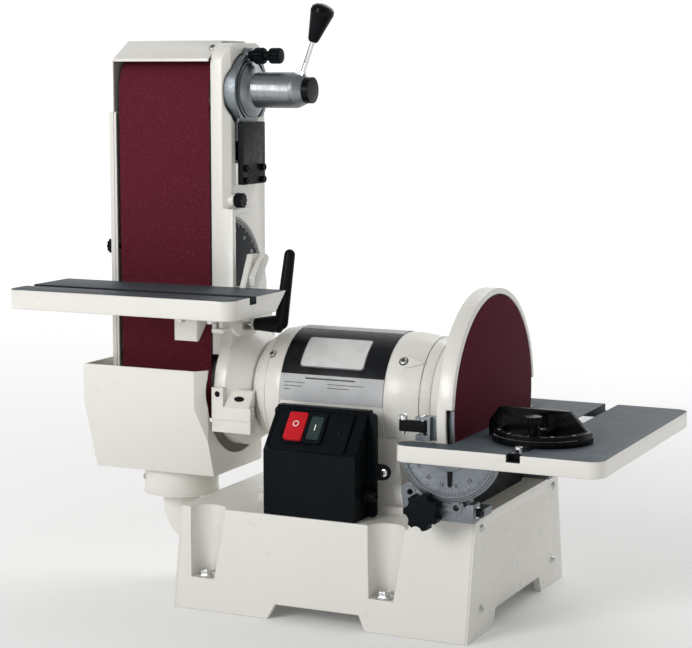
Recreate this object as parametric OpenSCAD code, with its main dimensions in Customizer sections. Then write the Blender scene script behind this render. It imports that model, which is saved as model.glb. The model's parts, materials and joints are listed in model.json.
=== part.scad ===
// Bench belt and disc sander. One motor drives a belt drum on the left and a sanding disc on the right.
// X runs along the motor spindle towards the disc, Y runs from front to back, Z is up.

/* [Base] */
// Middle of the base along X
base_mid_x = 37.5; // [34:0.5:41]
// Width of the base along X
base_w = 450; // [446:1:454]
// Depth of the base at the floor
base_foot_d = 393; // [390:1:396]
// Depth of the base at its main top
base_top_d = 342; // [340:1:344]
// Height of the main top
base_h = 143; // [142:0.5:143]
// Height of the raised block under the disc
block_h = 165; // [164:0.5:166]
// Width of the raised block along X
block_w = 97; // [95:1:98]
// Wall thickness of the base casting
wall = 8; // [7:0.5:9]
// Thickness of the two side covers
cover_t = 2.5; // [2:0.5:3]

/* [Motor] */
// Height of the spindle above the floor
spindle_z = 295; // [295:0.5:296]
// Radius of the motor shell
motor_r = 93; // [92:0.5:93]
// Left end of the motor shell
motor_x0 = -69.5; // [-70:0.5:-69]
// Right end of the motor shell
motor_x1 = 92.5; // [92:0.5:93]
// Left face of the left end bell
bell_left_x = -128; // [-128:0.5:-127]
// Right face of the right end bell
bell_right_x = 161; // [161:0.5:162]
// Radius of the spindle
shaft_r = 12.5; // [12:0.5:13]
// Radius of the spigot that the belt arm turns on
spigot_r = 50; // [48:0.5:51]

/* [Belt unit] */
// Middle of the belt along X
belt_mid_x = -276.5; // [-277:0.5:-276]
// Width of the belt
belt_w = 152.4; // [150:0.1:152.4]
// Radius of both drums
drum_r = 55; // [54.5:0.1:55]
// Distance between the two drum axes
drum_gap = 436.5; // [436:0.5:437]
// Thickness of the belt
belt_t = 1.2; // [1:0.1:1.2]
// Clearance between the belt and the drums
belt_gap = 0.3; // [0.3:0.05:0.4]
// Front edge of the arm
arm_front_y = -55.5; // [-56:0.5:-55]
// Back edge of the arm
arm_back_y = 60; // [59:0.5:61]
// Travel of the idler when the belt is slackened
slack_travel = 5; // [4:0.5:6]

/* [Belt table] */
// Left end of the belt table
belt_table_x0 = -446.6; // [-446.6:0.1:-445]
// Right end of the belt table
belt_table_x1 = -75.5; // [-76:0.5:-75]
// Front edge of the belt table
belt_table_y0 = -223.3; // [-223.3:0.1:-222]
// Rear edge of the belt table
belt_table_y1 = -59; // [-60:0.5:-59]
// Height of the belt table's top
belt_table_z = 446.8; // [446:0.1:447]
// Thickness of the belt table
belt_table_t = 28.1; // [27:0.1:29]

/* [Disc] */
// Radius of the sanding disc
disc_r = 152.4; // [150:0.1:152.4]
// Plane of the abrasive
disc_face_x = 225; // [224.8:0.1:225.2]
// Outer radius of the disc guard
guard_r = 162; // [161:0.5:163]

/* [Disc table] */
// Left end of the ledge beside the guard
disc_table_x0 = 157.5; // [157:0.5:159]
// Left edge of the table in front of the disc
disc_table_edge_x = 227; // [226.5:0.1:227.5]
// Right end of the disc table
disc_table_x1 = 446.6; // [445:0.1:446.6]
// Front edge of the disc table
disc_table_y0 = -204.6; // [-206:0.1:-204]
// Rear edge of the disc table
disc_table_y1 = 223.3; // [222:0.1:223.3]
// Height of the disc table's top
disc_table_z = 265.3; // [265:0.1:266]
// Thickness of the disc table
disc_table_t = 22.7; // [22:0.1:23]
// Distance of the ledges from the spindle's plane
ledge_y = 169; // [168:0.5:170]
// Width of both mitre slots
slot_w = 19; // [18.9:0.1:19.1]
// Depth of both mitre slots
slot_depth = 10; // [9.5:0.1:10]
// Left side of the disc table's slot
disc_slot_x = 317.5; // [316:0.5:319]
// X of the disc table's tilting axis
disc_tilt_x = 236.5; // [236:0.5:237]
// Radius of the tilting half discs
trunnion_r = 72; // [71:0.5:72]

/* [Switch] */
// Left side of the switch box
switch_x0 = -55; // [-56:0.5:-54]
// Right side of the switch box
switch_x1 = 86; // [85:0.5:87]
// Front face of the switch box
switch_y0 = -171; // [-172:0.5:-170]

/* [Fits] */
// Radial clearance of turning parts
fit = 0.06; // [0.04:0.01:0.08]

/* [Hidden] */
$fn = 96;
base_x0 = base_mid_x - base_w / 2;
base_x1 = base_mid_x + base_w / 2;
block_x = base_x1 - block_w;
pocket_xs = [-144, 133];
pocket_y = 176;
pocket_z = 45;
pocket_r_low = 18;
pocket_r_top = 28;
cover_screw_y = 147;
side_screws = [[base_x0, -1, [38, 126]], [base_x1, 1, [38, 150]]];

bearing_r = 26;
bearing_w = 14;
left_bearing_x = bell_left_x - 24;
right_bearing_x = bell_right_x - 21;

belt_x0 = belt_mid_x - belt_w / 2;
belt_x1 = belt_mid_x + belt_w / 2;
drum_len = belt_w - 2;
idler_z = spindle_z + drum_gap;
belt_inner_r = drum_r + belt_gap;
belt_outer_r = belt_inner_r + belt_t;
idler_r = drum_r - 0.1;

web_x0 = -178;
web_x1 = -170.5;
arm_flange_x0 = -198;
arm_top_z = 800;
wide_lip_x = -162.7;
wide_lip_z = [400, 560];
arm_split_z = 256;
lug_z = [238, 276];
lug_y = [80, 97];
lug_bolt = [-143, 89];
round_corner = 32;
arm_hub_r = 90;
arm_hub_x1 = bell_left_x - 0.3;
ring_r = 52.5;
ring_x0 = -177.9;
ring_x1 = -160;
ring_cut_z = 691.5;
boss_x1 = -87.5;
hub_x1 = -70.5;
axle_r = 10;
tracking_z = 781;

belt_tilt_y = -57;
belt_tilt_z = 445;
quadrant_x = [-147, -137];
quadrant_slot_r = 54;
bracket_x = [-217, -137];
lock_angle = -77;
lock_y = belt_tilt_y + quadrant_slot_r * cos(lock_angle);
lock_z = belt_tilt_z + quadrant_slot_r * sin(lock_angle);
cover_knob_at = [-36, 497];
cover_boss_x = -192;
cover_boss_z = [420, 680];
side_cover_x = [-369, -357];
side_cover_y = [-57.9, 62];
side_cover_top = 699;
top_cover_x = [-358, -198.3];
side_knob_at = [-40, 572];

hood_x = [-383, -181.5];
hood_wall = 3;
hood_cut_r = 104;
dust_y = -15;
pipe_r = 28.5;
pipe_bend = 47.5;
pipe_t = 2.5;
pipe_z = 113;
port_z = 78;
port_r = 50;

plate_x0 = 217;
guard_x0 = 202.5;
guard_x1 = 225;
guard_step_z = 309;
guard_low_z = 238;
chute_x = [203, 232];
chute_z = [block_h, 235];
chute_r = 160;

slope_foot_z = 235;
slope_top = [-125, 292];
slope_angle = atan2(slope_top[1] - slope_foot_z, slope_top[0] - switch_y0);
off_at = [-26.5, 15.5, 28, 43];
on_at = [6, 18, 20.5, 38];
gland_at = [-140, 176];

bar_x0 = disc_slot_x + 0.5;
bar_w = slot_w - 1;
bar_mid_x = bar_x0 + bar_w / 2;
mitre_y = -85;
mitre_r = 70;
mitre_knob_y = mitre_y - 43;

star_at = [204.5, 181];
brake_pin = [180, -156];

cream = [0.86, 0.85, 0.80];
black = [0.07, 0.08, 0.10];
iron = [0.40, 0.44, 0.49];
steel = [0.66, 0.68, 0.70];
aluminium = [0.60, 0.62, 0.64];
abrasive = [0.36, 0.12, 0.16];
red = [0.72, 0.14, 0.17];

// ---- helpers ----

// A Y-Z outline pushed along X
module along_x(x0, x1) translate([x0, 0, 0]) rotate([90, 0, 90]) linear_extrude(x1 - x0) children();
// An X-Z outline pushed along Y
module along_y(y0, y1) translate([0, y1, 0]) rotate([90, 0, 0]) linear_extrude(y1 - y0) children();
// An X-Y outline pushed along Z
module along_z(z0, z1) translate([0, 0, z0]) linear_extrude(z1 - z0) children();
module rod_x(r, x0, x1, y, z) translate([x0, y, z]) rotate([0, 90, 0]) cylinder(r = r, h = x1 - x0);
module rod_y(r, y0, y1, x, z) translate([x, y1, z]) rotate([90, 0, 0]) cylinder(r = r, h = y1 - y0);
module rod_z(r, z0, z1, x, y) translate([x, y, z0]) cylinder(r = r, h = z1 - z0);
module block(x, y, z) translate([x[0], y[0], z[0]]) cube([x[1] - x[0], y[1] - y[0], z[1] - z[0]]);
// A profile of [radius, x] points turned about a line along X
module turned(y, z) translate([0, y, z]) rotate([0, 90, 0]) rotate_extrude() children();
module round_rect(a, b, r) {
    translate([a[0] + r, a[1]]) square([b[0] - a[0] - 2 * r, b[1] - a[1]]);
    translate([a[0], a[1] + r]) square([b[0] - a[0], b[1] - a[1] - 2 * r]);
    for (u = [a[0] + r, b[0] - r], v = [a[1] + r, b[1] - r]) translate([u, v]) circle(r);
}
// A hexagon-headed bolt along Z, its head resting at z
module hex_bolt(r, head_r, head_h, len) {
    cylinder(r = head_r, h = head_h, $fn = 6);
    translate([0, 0, -len]) cylinder(r = r, h = len);
}
// A socket-headed screw along Z, its head resting at z
module cap_screw(r, head_r, head_h, len) {
    difference() {
        cylinder(r = head_r, h = head_h);
        translate([0, 0, head_h / 2]) cylinder(r = head_r * 0.5, h = head_h, $fn = 6);
    }
    translate([0, 0, -len]) cylinder(r = r, h = len);
}
// A cross-headed pan screw along Z, its head resting at z
module pan_screw(r, head_r, head_h, len) {
    difference() {
        cylinder(r1 = head_r, r2 = head_r * 0.75, h = head_h);
        for (a = [0, 90]) rotate([0, 0, a])
            translate([-head_r * 0.5, -head_r * 0.1, head_h * 0.5]) cube([head_r, head_r * 0.2, head_h]);
    }
    translate([0, 0, -len]) cylinder(r = r, h = len);
}
// A knob with flutes along Z
module fluted(r, h, n) difference() {
    cylinder(r = r, h = h);
    for (i = [0:n - 1]) rotate([0, 0, i * 360 / n])
        translate([r * 1.06, 0, -1]) cylinder(r = r * 0.2, h = h + 2, $fn = 24);
}

// ---- base ----

function base_half_d(z) = base_foot_d / 2 - (base_foot_d - base_top_d) / 2 * z / base_h;

module base_section(z0, z1, inset = 0) polygon([
    [-base_half_d(z0) + inset, z0], [base_half_d(z0) - inset, z0],
    [base_half_d(z1) - inset, z1], [-base_half_d(z1) + inset, z1]]);

// Feet are left by a shallow notch under each wall
module notch(half_low, half_high, h) polygon([
    [-half_low, -1], [half_low, -1], [half_high, h], [-half_high, h]]);

module pocket(x, s) {
    rise = base_h + 30 - pocket_z;
    r_end = pocket_r_low + (pocket_r_top - pocket_r_low) * rise / (base_h - pocket_z);
    translate([x, s * pocket_y, pocket_z]) cylinder(r1 = pocket_r_low, r2 = r_end, h = rise);
    along_y(s > 0 ? pocket_y : -240, s > 0 ? 240 : -pocket_y) translate([x, 0]) polygon([
        [-pocket_r_low, pocket_z], [pocket_r_low, pocket_z],
        [r_end, pocket_z + rise], [-r_end, pocket_z + rise]]);
}

module pocket_wall(x, s) translate([x, s * pocket_y, pocket_z - wall])
    cylinder(r1 = pocket_r_low + wall, r2 = pocket_r_top + wall, h = base_h - pocket_z + wall);

module base_casting() color(cream) difference() {
    union() {
        along_x(base_x0 + cover_t, base_x1 - cover_t) base_section(0, base_h);
        along_x(block_x, base_x1 - cover_t) base_section(0, block_h);
    }
    difference() {
        union() {
            along_x(base_x0 + cover_t + wall, base_x1 - cover_t - wall)
                base_section(-1, base_h - wall, wall);
            along_x(block_x + wall, base_x1 - cover_t - wall)
                base_section(-1, block_h - wall, wall);
        }
        for (x = pocket_xs, s = [-1, 1]) pocket_wall(x, s);
    }
    for (x = pocket_xs, s = [-1, 1]) {
        pocket(x, s);
        rod_z(5.6, 0, pocket_z + 1, x, s * pocket_y);
    }
    translate([base_mid_x, 0, 0]) along_y(-230, 230) notch(75, 64, 21);
    along_x(base_x0 - 5, base_x1 + 5) notch(100, 90, 25);
    block([base_x0 - 5, base_x0 + 20], [-115, 115], [32, 122]);
    block([base_x1 - 20, base_x1 + 5], [-115, 115], [32, 140]);
    // the disc dips through the raised block
    block([chute_x[0] + 2, chute_x[1] - 2], [-84, 84], [block_h - wall - 2, block_h + 2]);
    rod_y(port_r + 0.1, 140, 230, base_mid_x, port_z);
    for (c = side_screws, y = [-cover_screw_y, cover_screw_y], z = c[2])
        rod_x(2.5, c[0] - 12, c[0] + 12, y, z);
}

module base_side_covers() color(cream) {
    difference() {
        along_x(base_x0, base_x0 + cover_t) base_section(0, base_h);
        along_x(base_x0 - 1, base_x0 + 5) notch(100, 90, 25);
        rod_x(pipe_r + 0.5, base_x0 - 5, base_x0 + 5, dust_y, pipe_z - pipe_bend);
        for (y = [-cover_screw_y, cover_screw_y], z = side_screws[0][2])
            rod_x(2.5, base_x0 - 5, base_x0 + 5, y, z);
    }
    difference() {
        along_x(base_x1 - cover_t, base_x1) base_section(0, block_h);
        along_x(base_x1 - 5, base_x1 + 1) notch(100, 90, 25);
        for (y = [-cover_screw_y, cover_screw_y], z = side_screws[1][2])
            rod_x(2.5, base_x1 - 5, base_x1 + 5, y, z);
    }
}

module base_cover_screws() color(steel)
    for (c = side_screws, y = [-cover_screw_y, cover_screw_y], z = c[2])
        translate([c[0], y, z]) rotate([0, 90 * c[1], 0]) pan_screw(2.4, 5.5, 3, 9);

module bench_bolts() color(steel) for (x = pocket_xs, s = [-1, 1])
    translate([x, s * pocket_y, pocket_z]) {
        difference() {
            cylinder(r = 12, h = 2.2);
            translate([0, 0, -1]) cylinder(r = 5.5, h = 5);
        }
        translate([0, 0, 2.2]) hex_bolt(5, 9.2, 6.5, 40);
    }

module dust_port() color(black) difference() {
    union() {
        rod_y(port_r, 150, disc_table_y1, base_mid_x, port_z);
        rod_y(port_r + 8, 150, 197, base_mid_x, port_z);
    }
    difference() {
        along_x(-100, 180) base_section(-1, base_h + 20, -0.05);
        rod_y(port_r, 140, 230, base_mid_x, port_z);
    }
    rod_y(port_r - 3, 140, 240, base_mid_x, port_z);
}

// ---- motor ----

module pedestal() color(cream) difference() {
    union() {
        block([-99.5, 143.5], [-102, 102], [base_h, base_h + 12]);
        intersection() {
            along_y(-120, 120) polygon([[-80, base_h + 5], [126, base_h + 5], [110, 238],
                [102, 270], [-62, 270], [-70, 238]]);
            along_x(-100, 150) polygon([[-92, base_h + 5], [92, base_h + 5], [78, 270], [-78, 270]]);
        }
    }
    rod_x(motor_r, -120, 170, 0, spindle_z);
    block([-60, 100], [-72, 72], [base_h - 1, 190]);
    for (x = [-90, 135], y = [-80, 80]) rod_z(4.6, 130, 170, x, y);
}

module m8_bolts() color(steel) {
    for (x = [-90, 135], y = [-80, 80])
        translate([x, y, base_h + 12]) hex_bolt(4, 7.4, 5.3, 11.9);
    for (x = [186, 250], s = [-1, 1])
        translate([x, s * 140, block_h + 11]) hex_bolt(4, 7.4, 5.3, 10.9);
    // cap screw and washer in the right end of each table bracket
    for (s = [-1, 1]) translate([272, s * 190, 181]) rotate([0, 90, 0]) {
        cylinder(r = 8, h = 1.2);
        translate([0, 0, 1.2]) cap_screw(4, 6, 7.5, 15);
    }
}

module motor_shell() color(cream) difference() {
    rod_x(motor_r, motor_x0, motor_x1, 0, spindle_z);
    rod_x(motor_r - 8, motor_x0 - 1, motor_x1 + 1, 0, spindle_z);
}

// Wraps the shell from the front over its top
module motor_label() color(black) difference() {
    rod_x(motor_r + 0.8, motor_x0, motor_x1, 0, spindle_z);
    rod_x(motor_r + 0.05, motor_x0 - 1, motor_x1 + 1, 0, spindle_z);
    along_x(motor_x0 - 2, motor_x1 + 2) translate([0, spindle_z])
        polygon([[0, 0], [-200, -4], [-200, -200], [200, -200], [200, 200], [35, 200]]);
}

module end_bell_left() color(cream) turned(0, spindle_z) polygon([
    [motor_r, motor_x0], [92, -82], [88, -97], [81, -109], [72, -119], [63, bell_left_x],
    [spigot_r, bell_left_x], [spigot_r, -165], [shaft_r + 1, -165], [shaft_r + 1, left_bearing_x],
    [bearing_r, left_bearing_x], [bearing_r, left_bearing_x + bearing_w], [40, -136],
    [40, -122], [60, -114], [76, -98], [84, -84], [84, motor_x0]]);

module end_bell_right() color(cream) turned(0, spindle_z) polygon([
    [motor_r, motor_x1], [motor_r, 112], [91, 128], [86, bell_right_x], [shaft_r + 1, bell_right_x],
    [shaft_r + 1, right_bearing_x + bearing_w], [bearing_r, right_bearing_x + bearing_w],
    [bearing_r, right_bearing_x], [40, right_bearing_x], [78, 138], [84, 116], [84, motor_x1]]);

module stator() color(iron) difference() {
    rod_x(motor_r - 8.1, -45, 68, 0, spindle_z);
    rod_x(60, -46, 69, 0, spindle_z);
}

module motor_bearings() color(steel) for (x = [left_bearing_x, right_bearing_x])
    difference() {
        rod_x(bearing_r - 0.02, x, x + bearing_w, 0, spindle_z);
        rod_x(shaft_r + fit, x - 1, x + bearing_w + 1, 0, spindle_z);
    }

module motor_shaft() color(steel) rod_x(shaft_r, belt_x0 + 30, plate_x0 + 5, 0, spindle_z);

module rotor() color(iron) difference() {
    rod_x(59, -45, 68, 0, spindle_z);
    rod_x(shaft_r + 0.02, -46, 69, 0, spindle_z);
}

module drive_drum() color(steel) turned(0, spindle_z) polygon([
    [shaft_r + 0.02, belt_mid_x - 22], [26, belt_mid_x - 22], [26, belt_mid_x - 5],
    [drum_r - 7, belt_mid_x - 5], [drum_r - 7, belt_mid_x - drum_len / 2],
    [drum_r, belt_mid_x - drum_len / 2], [drum_r, belt_mid_x + drum_len / 2],
    [drum_r - 7, belt_mid_x + drum_len / 2], [drum_r - 7, belt_mid_x + 5],
    [26, belt_mid_x + 5], [26, belt_mid_x + 45], [shaft_r + 0.02, belt_mid_x + 45]]);

module disc_plate() color(steel) turned(0, spindle_z) polygon([
    [shaft_r + 0.02, 196], [27, 196], [27, plate_x0 - 1], [disc_r - 8, plate_x0 - 1],
    [disc_r - 8, plate_x0 - 0.6], [disc_r, plate_x0 - 0.6], [disc_r, disc_face_x - 0.8],
    [0, disc_face_x - 0.8], [0, plate_x0 + 5.02], [shaft_r + 0.02, plate_x0 + 5.02]]);

module abrasive_disc() color(abrasive) rod_x(disc_r, disc_face_x - 0.8, disc_face_x, 0, spindle_z);

// ---- switch ----

// Frame on the sloping front of the box: Y up the slope, Z outwards
module on_slope() translate([0, switch_y0, slope_foot_z]) rotate([slope_angle, 0, 0]) children();

module switch_outline(inset = 0) polygon([
    [switch_y0 + inset, base_h + 1 + inset], [switch_y0 + inset, slope_foot_z - inset * 0.4],
    [slope_top[0] + inset * 0.4, slope_top[1] - inset], [-112 + inset, slope_top[1] - inset],
    [-103.5, 262], [-103.5, base_h + 1 + inset]]);

module switch_box() color(black) difference() {
    union() {
        along_x(switch_x0, switch_x1) switch_outline();
        // rim that is screwed to the pedestal
        along_y(-127, -123) round_rect([switch_x0 - 4, base_h + 1], [99, 289.5], 6);
        along_y(-127, -123) translate([108, 208]) circle(11);
        along_y(-127, -123) translate([90, 197]) square([18, 22]);
    }
    difference() {
        along_x(switch_x0 + 3, switch_x1 - 3) switch_outline(3);
        block([switch_x0, switch_x1], [-103.6, -90], [base_h, 300]);
    }
    block([switch_x0 + 3, switch_x1 - 3], [-118, -103], [base_h + 4, 260]);
    on_slope() translate([-32, 10, -20]) cube([64, 54, 40]);
    rod_y(3.2, -130, -120, 110, 208);
    rod_x(5.2, switch_x1 - 10, 120, gland_at[0], gland_at[1]);
}

module switch_panel() color(black) on_slope() difference() {
    along_z(0.02, 3.5) round_rect([-50, 1.5], [69, 67.5], 5);
    for (b = [off_at, on_at]) translate([b[0] - 0.5, b[1] - 0.5, -1]) cube([b[2] + 1, b[3] + 1, 6]);
    translate([54, 35, -1]) cylinder(r = 2.4, h = 6);
}

// A push button: the cap, and a stem that runs back into the box
module button(b, height) {
    along_z(-8, height) round_rect([b[0], b[1]], [b[0] + b[2], b[1] + b[3]], 3);
    translate([b[0] + b[2] / 2, b[1] + b[3] / 2, -16]) cylinder(r = 5, h = 9);
}
module off_button() color(red) on_slope() button(off_at, 10);
module on_button() color([0.19, 0.24, 0.23]) on_slope() button(on_at, 6);

module cord_gland() color(black) difference() {
    union() {
        rod_x(5, switch_x1 - 8, switch_x1, gland_at[0], gland_at[1]);
        rod_x(9, switch_x1, switch_x1 + 6, gland_at[0], gland_at[1]);
        rod_x(7, switch_x1 + 6, switch_x1 + 18, gland_at[0], gland_at[1]);
    }
    rod_x(3.5, switch_x1 - 10, switch_x1 + 20, gland_at[0], gland_at[1]);
}

// ---- belt arm ----

module arm_outline(inset, z0) {
    translate([arm_front_y + inset, z0]) square([arm_back_y - arm_front_y - 2 * inset, 600 - z0]);
    round_rect([arm_front_y + inset, 500], [arm_back_y - inset, arm_top_z - inset], round_corner - inset);
}

module arm_hub() turned(0, spindle_z) polygon([
    [spigot_r + fit, web_x0], [arm_hub_r, web_x0], [arm_hub_r, -160], [82, -150],
    [68, arm_hub_x1], [spigot_r + fit, arm_hub_x1]]);

module clamp_lug(s) {
    block([web_x0, -114], s > 0 ? lug_y + [5, 0] : [-lug_y[1], -lug_y[0] - 5], lug_z);
    block([web_x0, arm_hub_x1], s > 0 ? [70, lug_y[1]] : [-lug_y[1], -70], lug_z);
}

// Round opening, and the slot below it, that the tension bracket slides in
module slide_opening() along_x(web_x0 - 1, web_x1 + 1) {
    for (dz = [0, -slack_travel]) translate([0, idler_z + dz]) circle(ring_r + 1.6);
    translate([-ring_r - 1.6, idler_z - slack_travel]) square([2 * ring_r + 3.2, slack_travel]);
    translate([-31.5, 629.5]) square([63, 70]);
}

module belt_arm() color(cream) difference() {
    union() {
        along_x(web_x0, web_x1) arm_outline(0, 300);
        // flange all round the web
        difference() {
            along_x(arm_flange_x0, web_x0 + 4) arm_outline(0, 345);
            along_x(arm_flange_x0 - 1, web_x0) arm_outline(7, 330);
        }
        block([web_x0, wide_lip_x], [arm_front_y, arm_front_y + 8], wide_lip_z);
        block([web_x0, wide_lip_x], [arm_front_y, 10], [wide_lip_z[1] - 7, wide_lip_z[1]]);
        intersection() {
            union() {
                arm_hub();
                for (s = [-1, 1]) clamp_lug(s);
                // drilled ear above the front lug
                block([web_x0, -159], [-lug_y[1], -75], [lug_z[1] - 2, 303]);
            }
            block([-200, -100], [-120, 120], [arm_split_z, 450]);
        }
        // boss for the table lock, and the neck between the hub and the web
        rod_x(13, web_x1 - 1, quadrant_x[0] - 0.4, lock_y, lock_z);
        along_x(web_x0, -160) polygon([[-86, 300], [86, 300], [arm_back_y, 400], [arm_front_y, 400]]);
        // pads under the clamp plate
        block([web_x1 - 1, -165], [-35, 35], [594, 626]);
        rod_x(9, web_x1 - 1, -166, side_knob_at[0], side_knob_at[1]);
        // bosses that carry the back cover
        for (z = cover_boss_z) rod_y(5, arm_back_y - 2, 69.95, cover_boss_x, z);
    }
    rod_x(spigot_r + fit, -200, -100, 0, spindle_z);
    slide_opening();
    for (s = [-1, 1]) {
        rod_z(4.1, 200, lug_z[1] + 5, lug_bolt[0], s * lug_bolt[1]);
        rod_z(7, lug_z[1] - 9, lug_z[1] + 5, lug_bolt[0], s * lug_bolt[1]);
    }
    // the front corner is cut off above the lip
    difference() {
        along_z(wide_lip_z[1] + 1, 830) polygon([[-183.7, -60], [-160, -60], [-160, -31.3]]);
        rod_x(9, -190, -150, side_knob_at[0], side_knob_at[1]);
    }
    rod_x(5 + fit, -190, -130, lock_y, lock_z);
    rod_x(4 + fit, -190, -150, side_knob_at[0], side_knob_at[1]);
    for (y = [-25, 25], z = [600, 618]) rod_x(3.1, -180, -150, y, z);
    for (z = cover_boss_z) rod_y(2, 56, 75, cover_boss_x, z);
    rod_y(3.4, -110, -88, -168, 294);
}

module arm_clamp_cap() color(cream) difference() {
    intersection() {
        union() {
            arm_hub();
            for (s = [-1, 1]) clamp_lug(s);
        }
        block([-200, -100], [-120, 120], [150, arm_split_z]);
    }
    rod_x(spigot_r + fit, -200, -100, 0, spindle_z);
    for (s = [-1, 1]) rod_z(4.1, 200, 262, lug_bolt[0], s * lug_bolt[1]);
}

module arm_screws() color(black) {
    for (s = [-1, 1]) translate([lug_bolt[0], s * lug_bolt[1], lug_z[1] - 9])
        cap_screw(4, 6.5, 8, lug_z[1] - lug_z[0] - 11);
    for (y = [-25, 25], z = [600, 618]) translate([-156.5, y, z]) rotate([0, 90, 0])
        cap_screw(3, 5, 5, 14);
    for (z = cover_boss_z) translate([cover_boss_x, 72, z]) rotate([-90, 0, 0])
        pan_screw(1.9, 4, 2.2, 10);
}

// Sheet cover on the free side of the belt
module side_cover_outline(inset) {
    translate([side_cover_y[0] + inset, spindle_z])
        square([side_cover_y[1] - side_cover_y[0] - 2 * inset, side_cover_top - inset - spindle_z]);
    translate([(side_cover_y[0] + side_cover_y[1]) / 2, spindle_z])
        circle((side_cover_y[1] - side_cover_y[0]) / 2 - inset);
}
module belt_side_cover() color(cream) difference() {
    along_x(side_cover_x[0], side_cover_x[1]) side_cover_outline(0);
    along_x(side_cover_x[0] + 2, side_cover_x[1] + 1) side_cover_outline(2);
    rod_x(4 + fit, -375, -350, cover_knob_at[0], cover_knob_at[1]);
}

// Bent sheet over the idler and down behind the belt
module belt_cover_outline(inset) {
    difference() {
        union() {
            round_rect([-62 + inset, 700 + inset], [72 - inset, 803.5 - inset], 27 - inset);
            translate([-62 + inset, 700]) square([134 - 2 * inset, 60]);
        }
        // flat slope at the front
        translate([-62, 777 - inset * 1.17]) rotate(31.5) translate([-40, 0]) square([140, 60]);
    }
    translate([20, 340]) square([52 - inset, 380]);
}
module belt_cover() color(cream) difference() {
    along_x(top_cover_x[0], -186) belt_cover_outline(0);
    along_x(top_cover_x[0] - 1, -185) translate([0, -0.01]) {
        belt_cover_outline(2);
        translate([10, 330]) square([60, 20]);
    }
    block([-370, -180], [-80, 62], [330, 773]);
    // the arm's own top takes its place on the right
    block([top_cover_x[1], -180], [-80, 64], [760, 810]);
    for (z = cover_boss_z) rod_y(2, 65, 75, cover_boss_x, z);
}

module platen() color(iron) {
    // lug that the side cover's knob screws into
    difference() {
        block([-356.5, -341], [-47.1, -26], [487, 507]);
        rod_x(4 + fit, -360, -344.5, cover_knob_at[0], cover_knob_at[1]);
    }
    block([-353.5, belt_x1 - 0.1], [-belt_inner_r + 1.1, -47], [345, 697]);
    block([-352, belt_x1 - 0.1], [-belt_inner_r + 0.2, -belt_inner_r + 1.1], [350, 690]);
    for (z = [380, 520, 640]) block([-350, web_x0], [-47, -41], [z, z + 22]);
}

module sanding_belt() color(abrasive) along_x(belt_x0, belt_x1) difference() {
    union() {
        for (z = [spindle_z, idler_z]) translate([0, z]) circle(belt_outer_r);
        translate([-belt_outer_r, spindle_z]) square([2 * belt_outer_r, drum_gap]);
    }
    for (z = [spindle_z, idler_z]) translate([0, z]) circle(belt_inner_r);
    translate([-belt_inner_r, spindle_z]) square([2 * belt_inner_r, drum_gap]);
}

module clamp_plate() color(black) difference() {
    along_x(-165, -156.5) round_rect([-35, 594], [35, 685], 3);
    for (y = [-25, 25], z = [600, 618]) rod_x(3.1, -180, -150, y, z);
}

module angle_scale() color(iron) intersection() {
    rod_x(105, web_x1, web_x1 + 2, belt_tilt_y, belt_tilt_z);
    block([web_x1, web_x1 + 2], [arm_front_y + 8, 80], [belt_tilt_z, 560]);
}

module hand_knob(len) {
    fluted(11, 12, 10);
    translate([0, 0, -len]) cylinder(r = 4, h = len);
}
module cover_knob() color(black)
    translate([side_cover_x[0] - 3, cover_knob_at[0], cover_knob_at[1]]) rotate([0, -90, 0]) {
        hand_knob(26);
        translate([0, 0, -2.9]) cylinder(r = 8, h = 3);
    }
module side_knob() color(black)
    translate([-165, side_knob_at[0], side_knob_at[1]]) rotate([0, 90, 0]) hand_knob(16);

// ---- idler, tension and tracking ----

module idler_drum() color(steel) turned(0, idler_z) polygon([
    [axle_r + fit, belt_mid_x - drum_len / 2], [idler_r, belt_mid_x - drum_len / 2],
    [idler_r, belt_mid_x + drum_len / 2], [idler_r - 7, belt_mid_x + drum_len / 2],
    [idler_r - 7, belt_mid_x - 50], [26, belt_mid_x - 50], [26, belt_mid_x + 60],
    [axle_r + fit, belt_mid_x + 60]]);

module idler_axle() color(steel) rod_x(axle_r, belt_mid_x - drum_len / 2, boss_x1, 0, idler_z);

module tension_bracket() color(aluminium) difference() {
    union() {
        along_x(ring_x0, web_x1 + 2) {
            translate([0, idler_z]) circle(ring_r);
            translate([-30, 658]) square([60, 40]);
        }
        along_x(web_x1 + 1, -165.4) translate([-30, 658]) square([60, 40]);
        // outer half of the ring, with the ear for the tracking screw
        intersection() {
            along_x(web_x1 + 0.3, ring_x1) {
                translate([0, idler_z]) circle(ring_r);
                translate([-12, 770]) square([24, 11]);
                translate([0, tracking_z]) circle(12);
            }
            block([-180, -100], [-80, 80], [ring_cut_z, 800]);
        }
        turned(0, idler_z) polygon([[axle_r, ring_x1 - 1], [39.5, ring_x1 - 1], [39.5, ring_x1 + 2],
            [34, ring_x1 + 7], [26, ring_x1 + 11], [26, boss_x1], [axle_r, boss_x1]]);
    }
    // groove round the ring's face
    turned(0, idler_z) translate([43, ring_x1 - 5]) square([4, 6]);
    rod_x(axle_r + 0.02, -200, -80, 0, idler_z);
    rod_x(3.5 + fit, web_x1, ring_x1 + 1, 0, tracking_z);
}

// Holds the bracket up against the belt's pull
module tension_spring() color(steel) translate([(web_x0 + web_x1) / 2, 0, 0]) {
    rod_z(5.4, 629.6, 657.9, 0, 0);
    for (i = [0:7]) translate([0, 0, 631.4 + i * 3.5]) rotate_extrude()
        translate([5.8, 0]) circle(1.2, $fn = 20);
}

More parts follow.
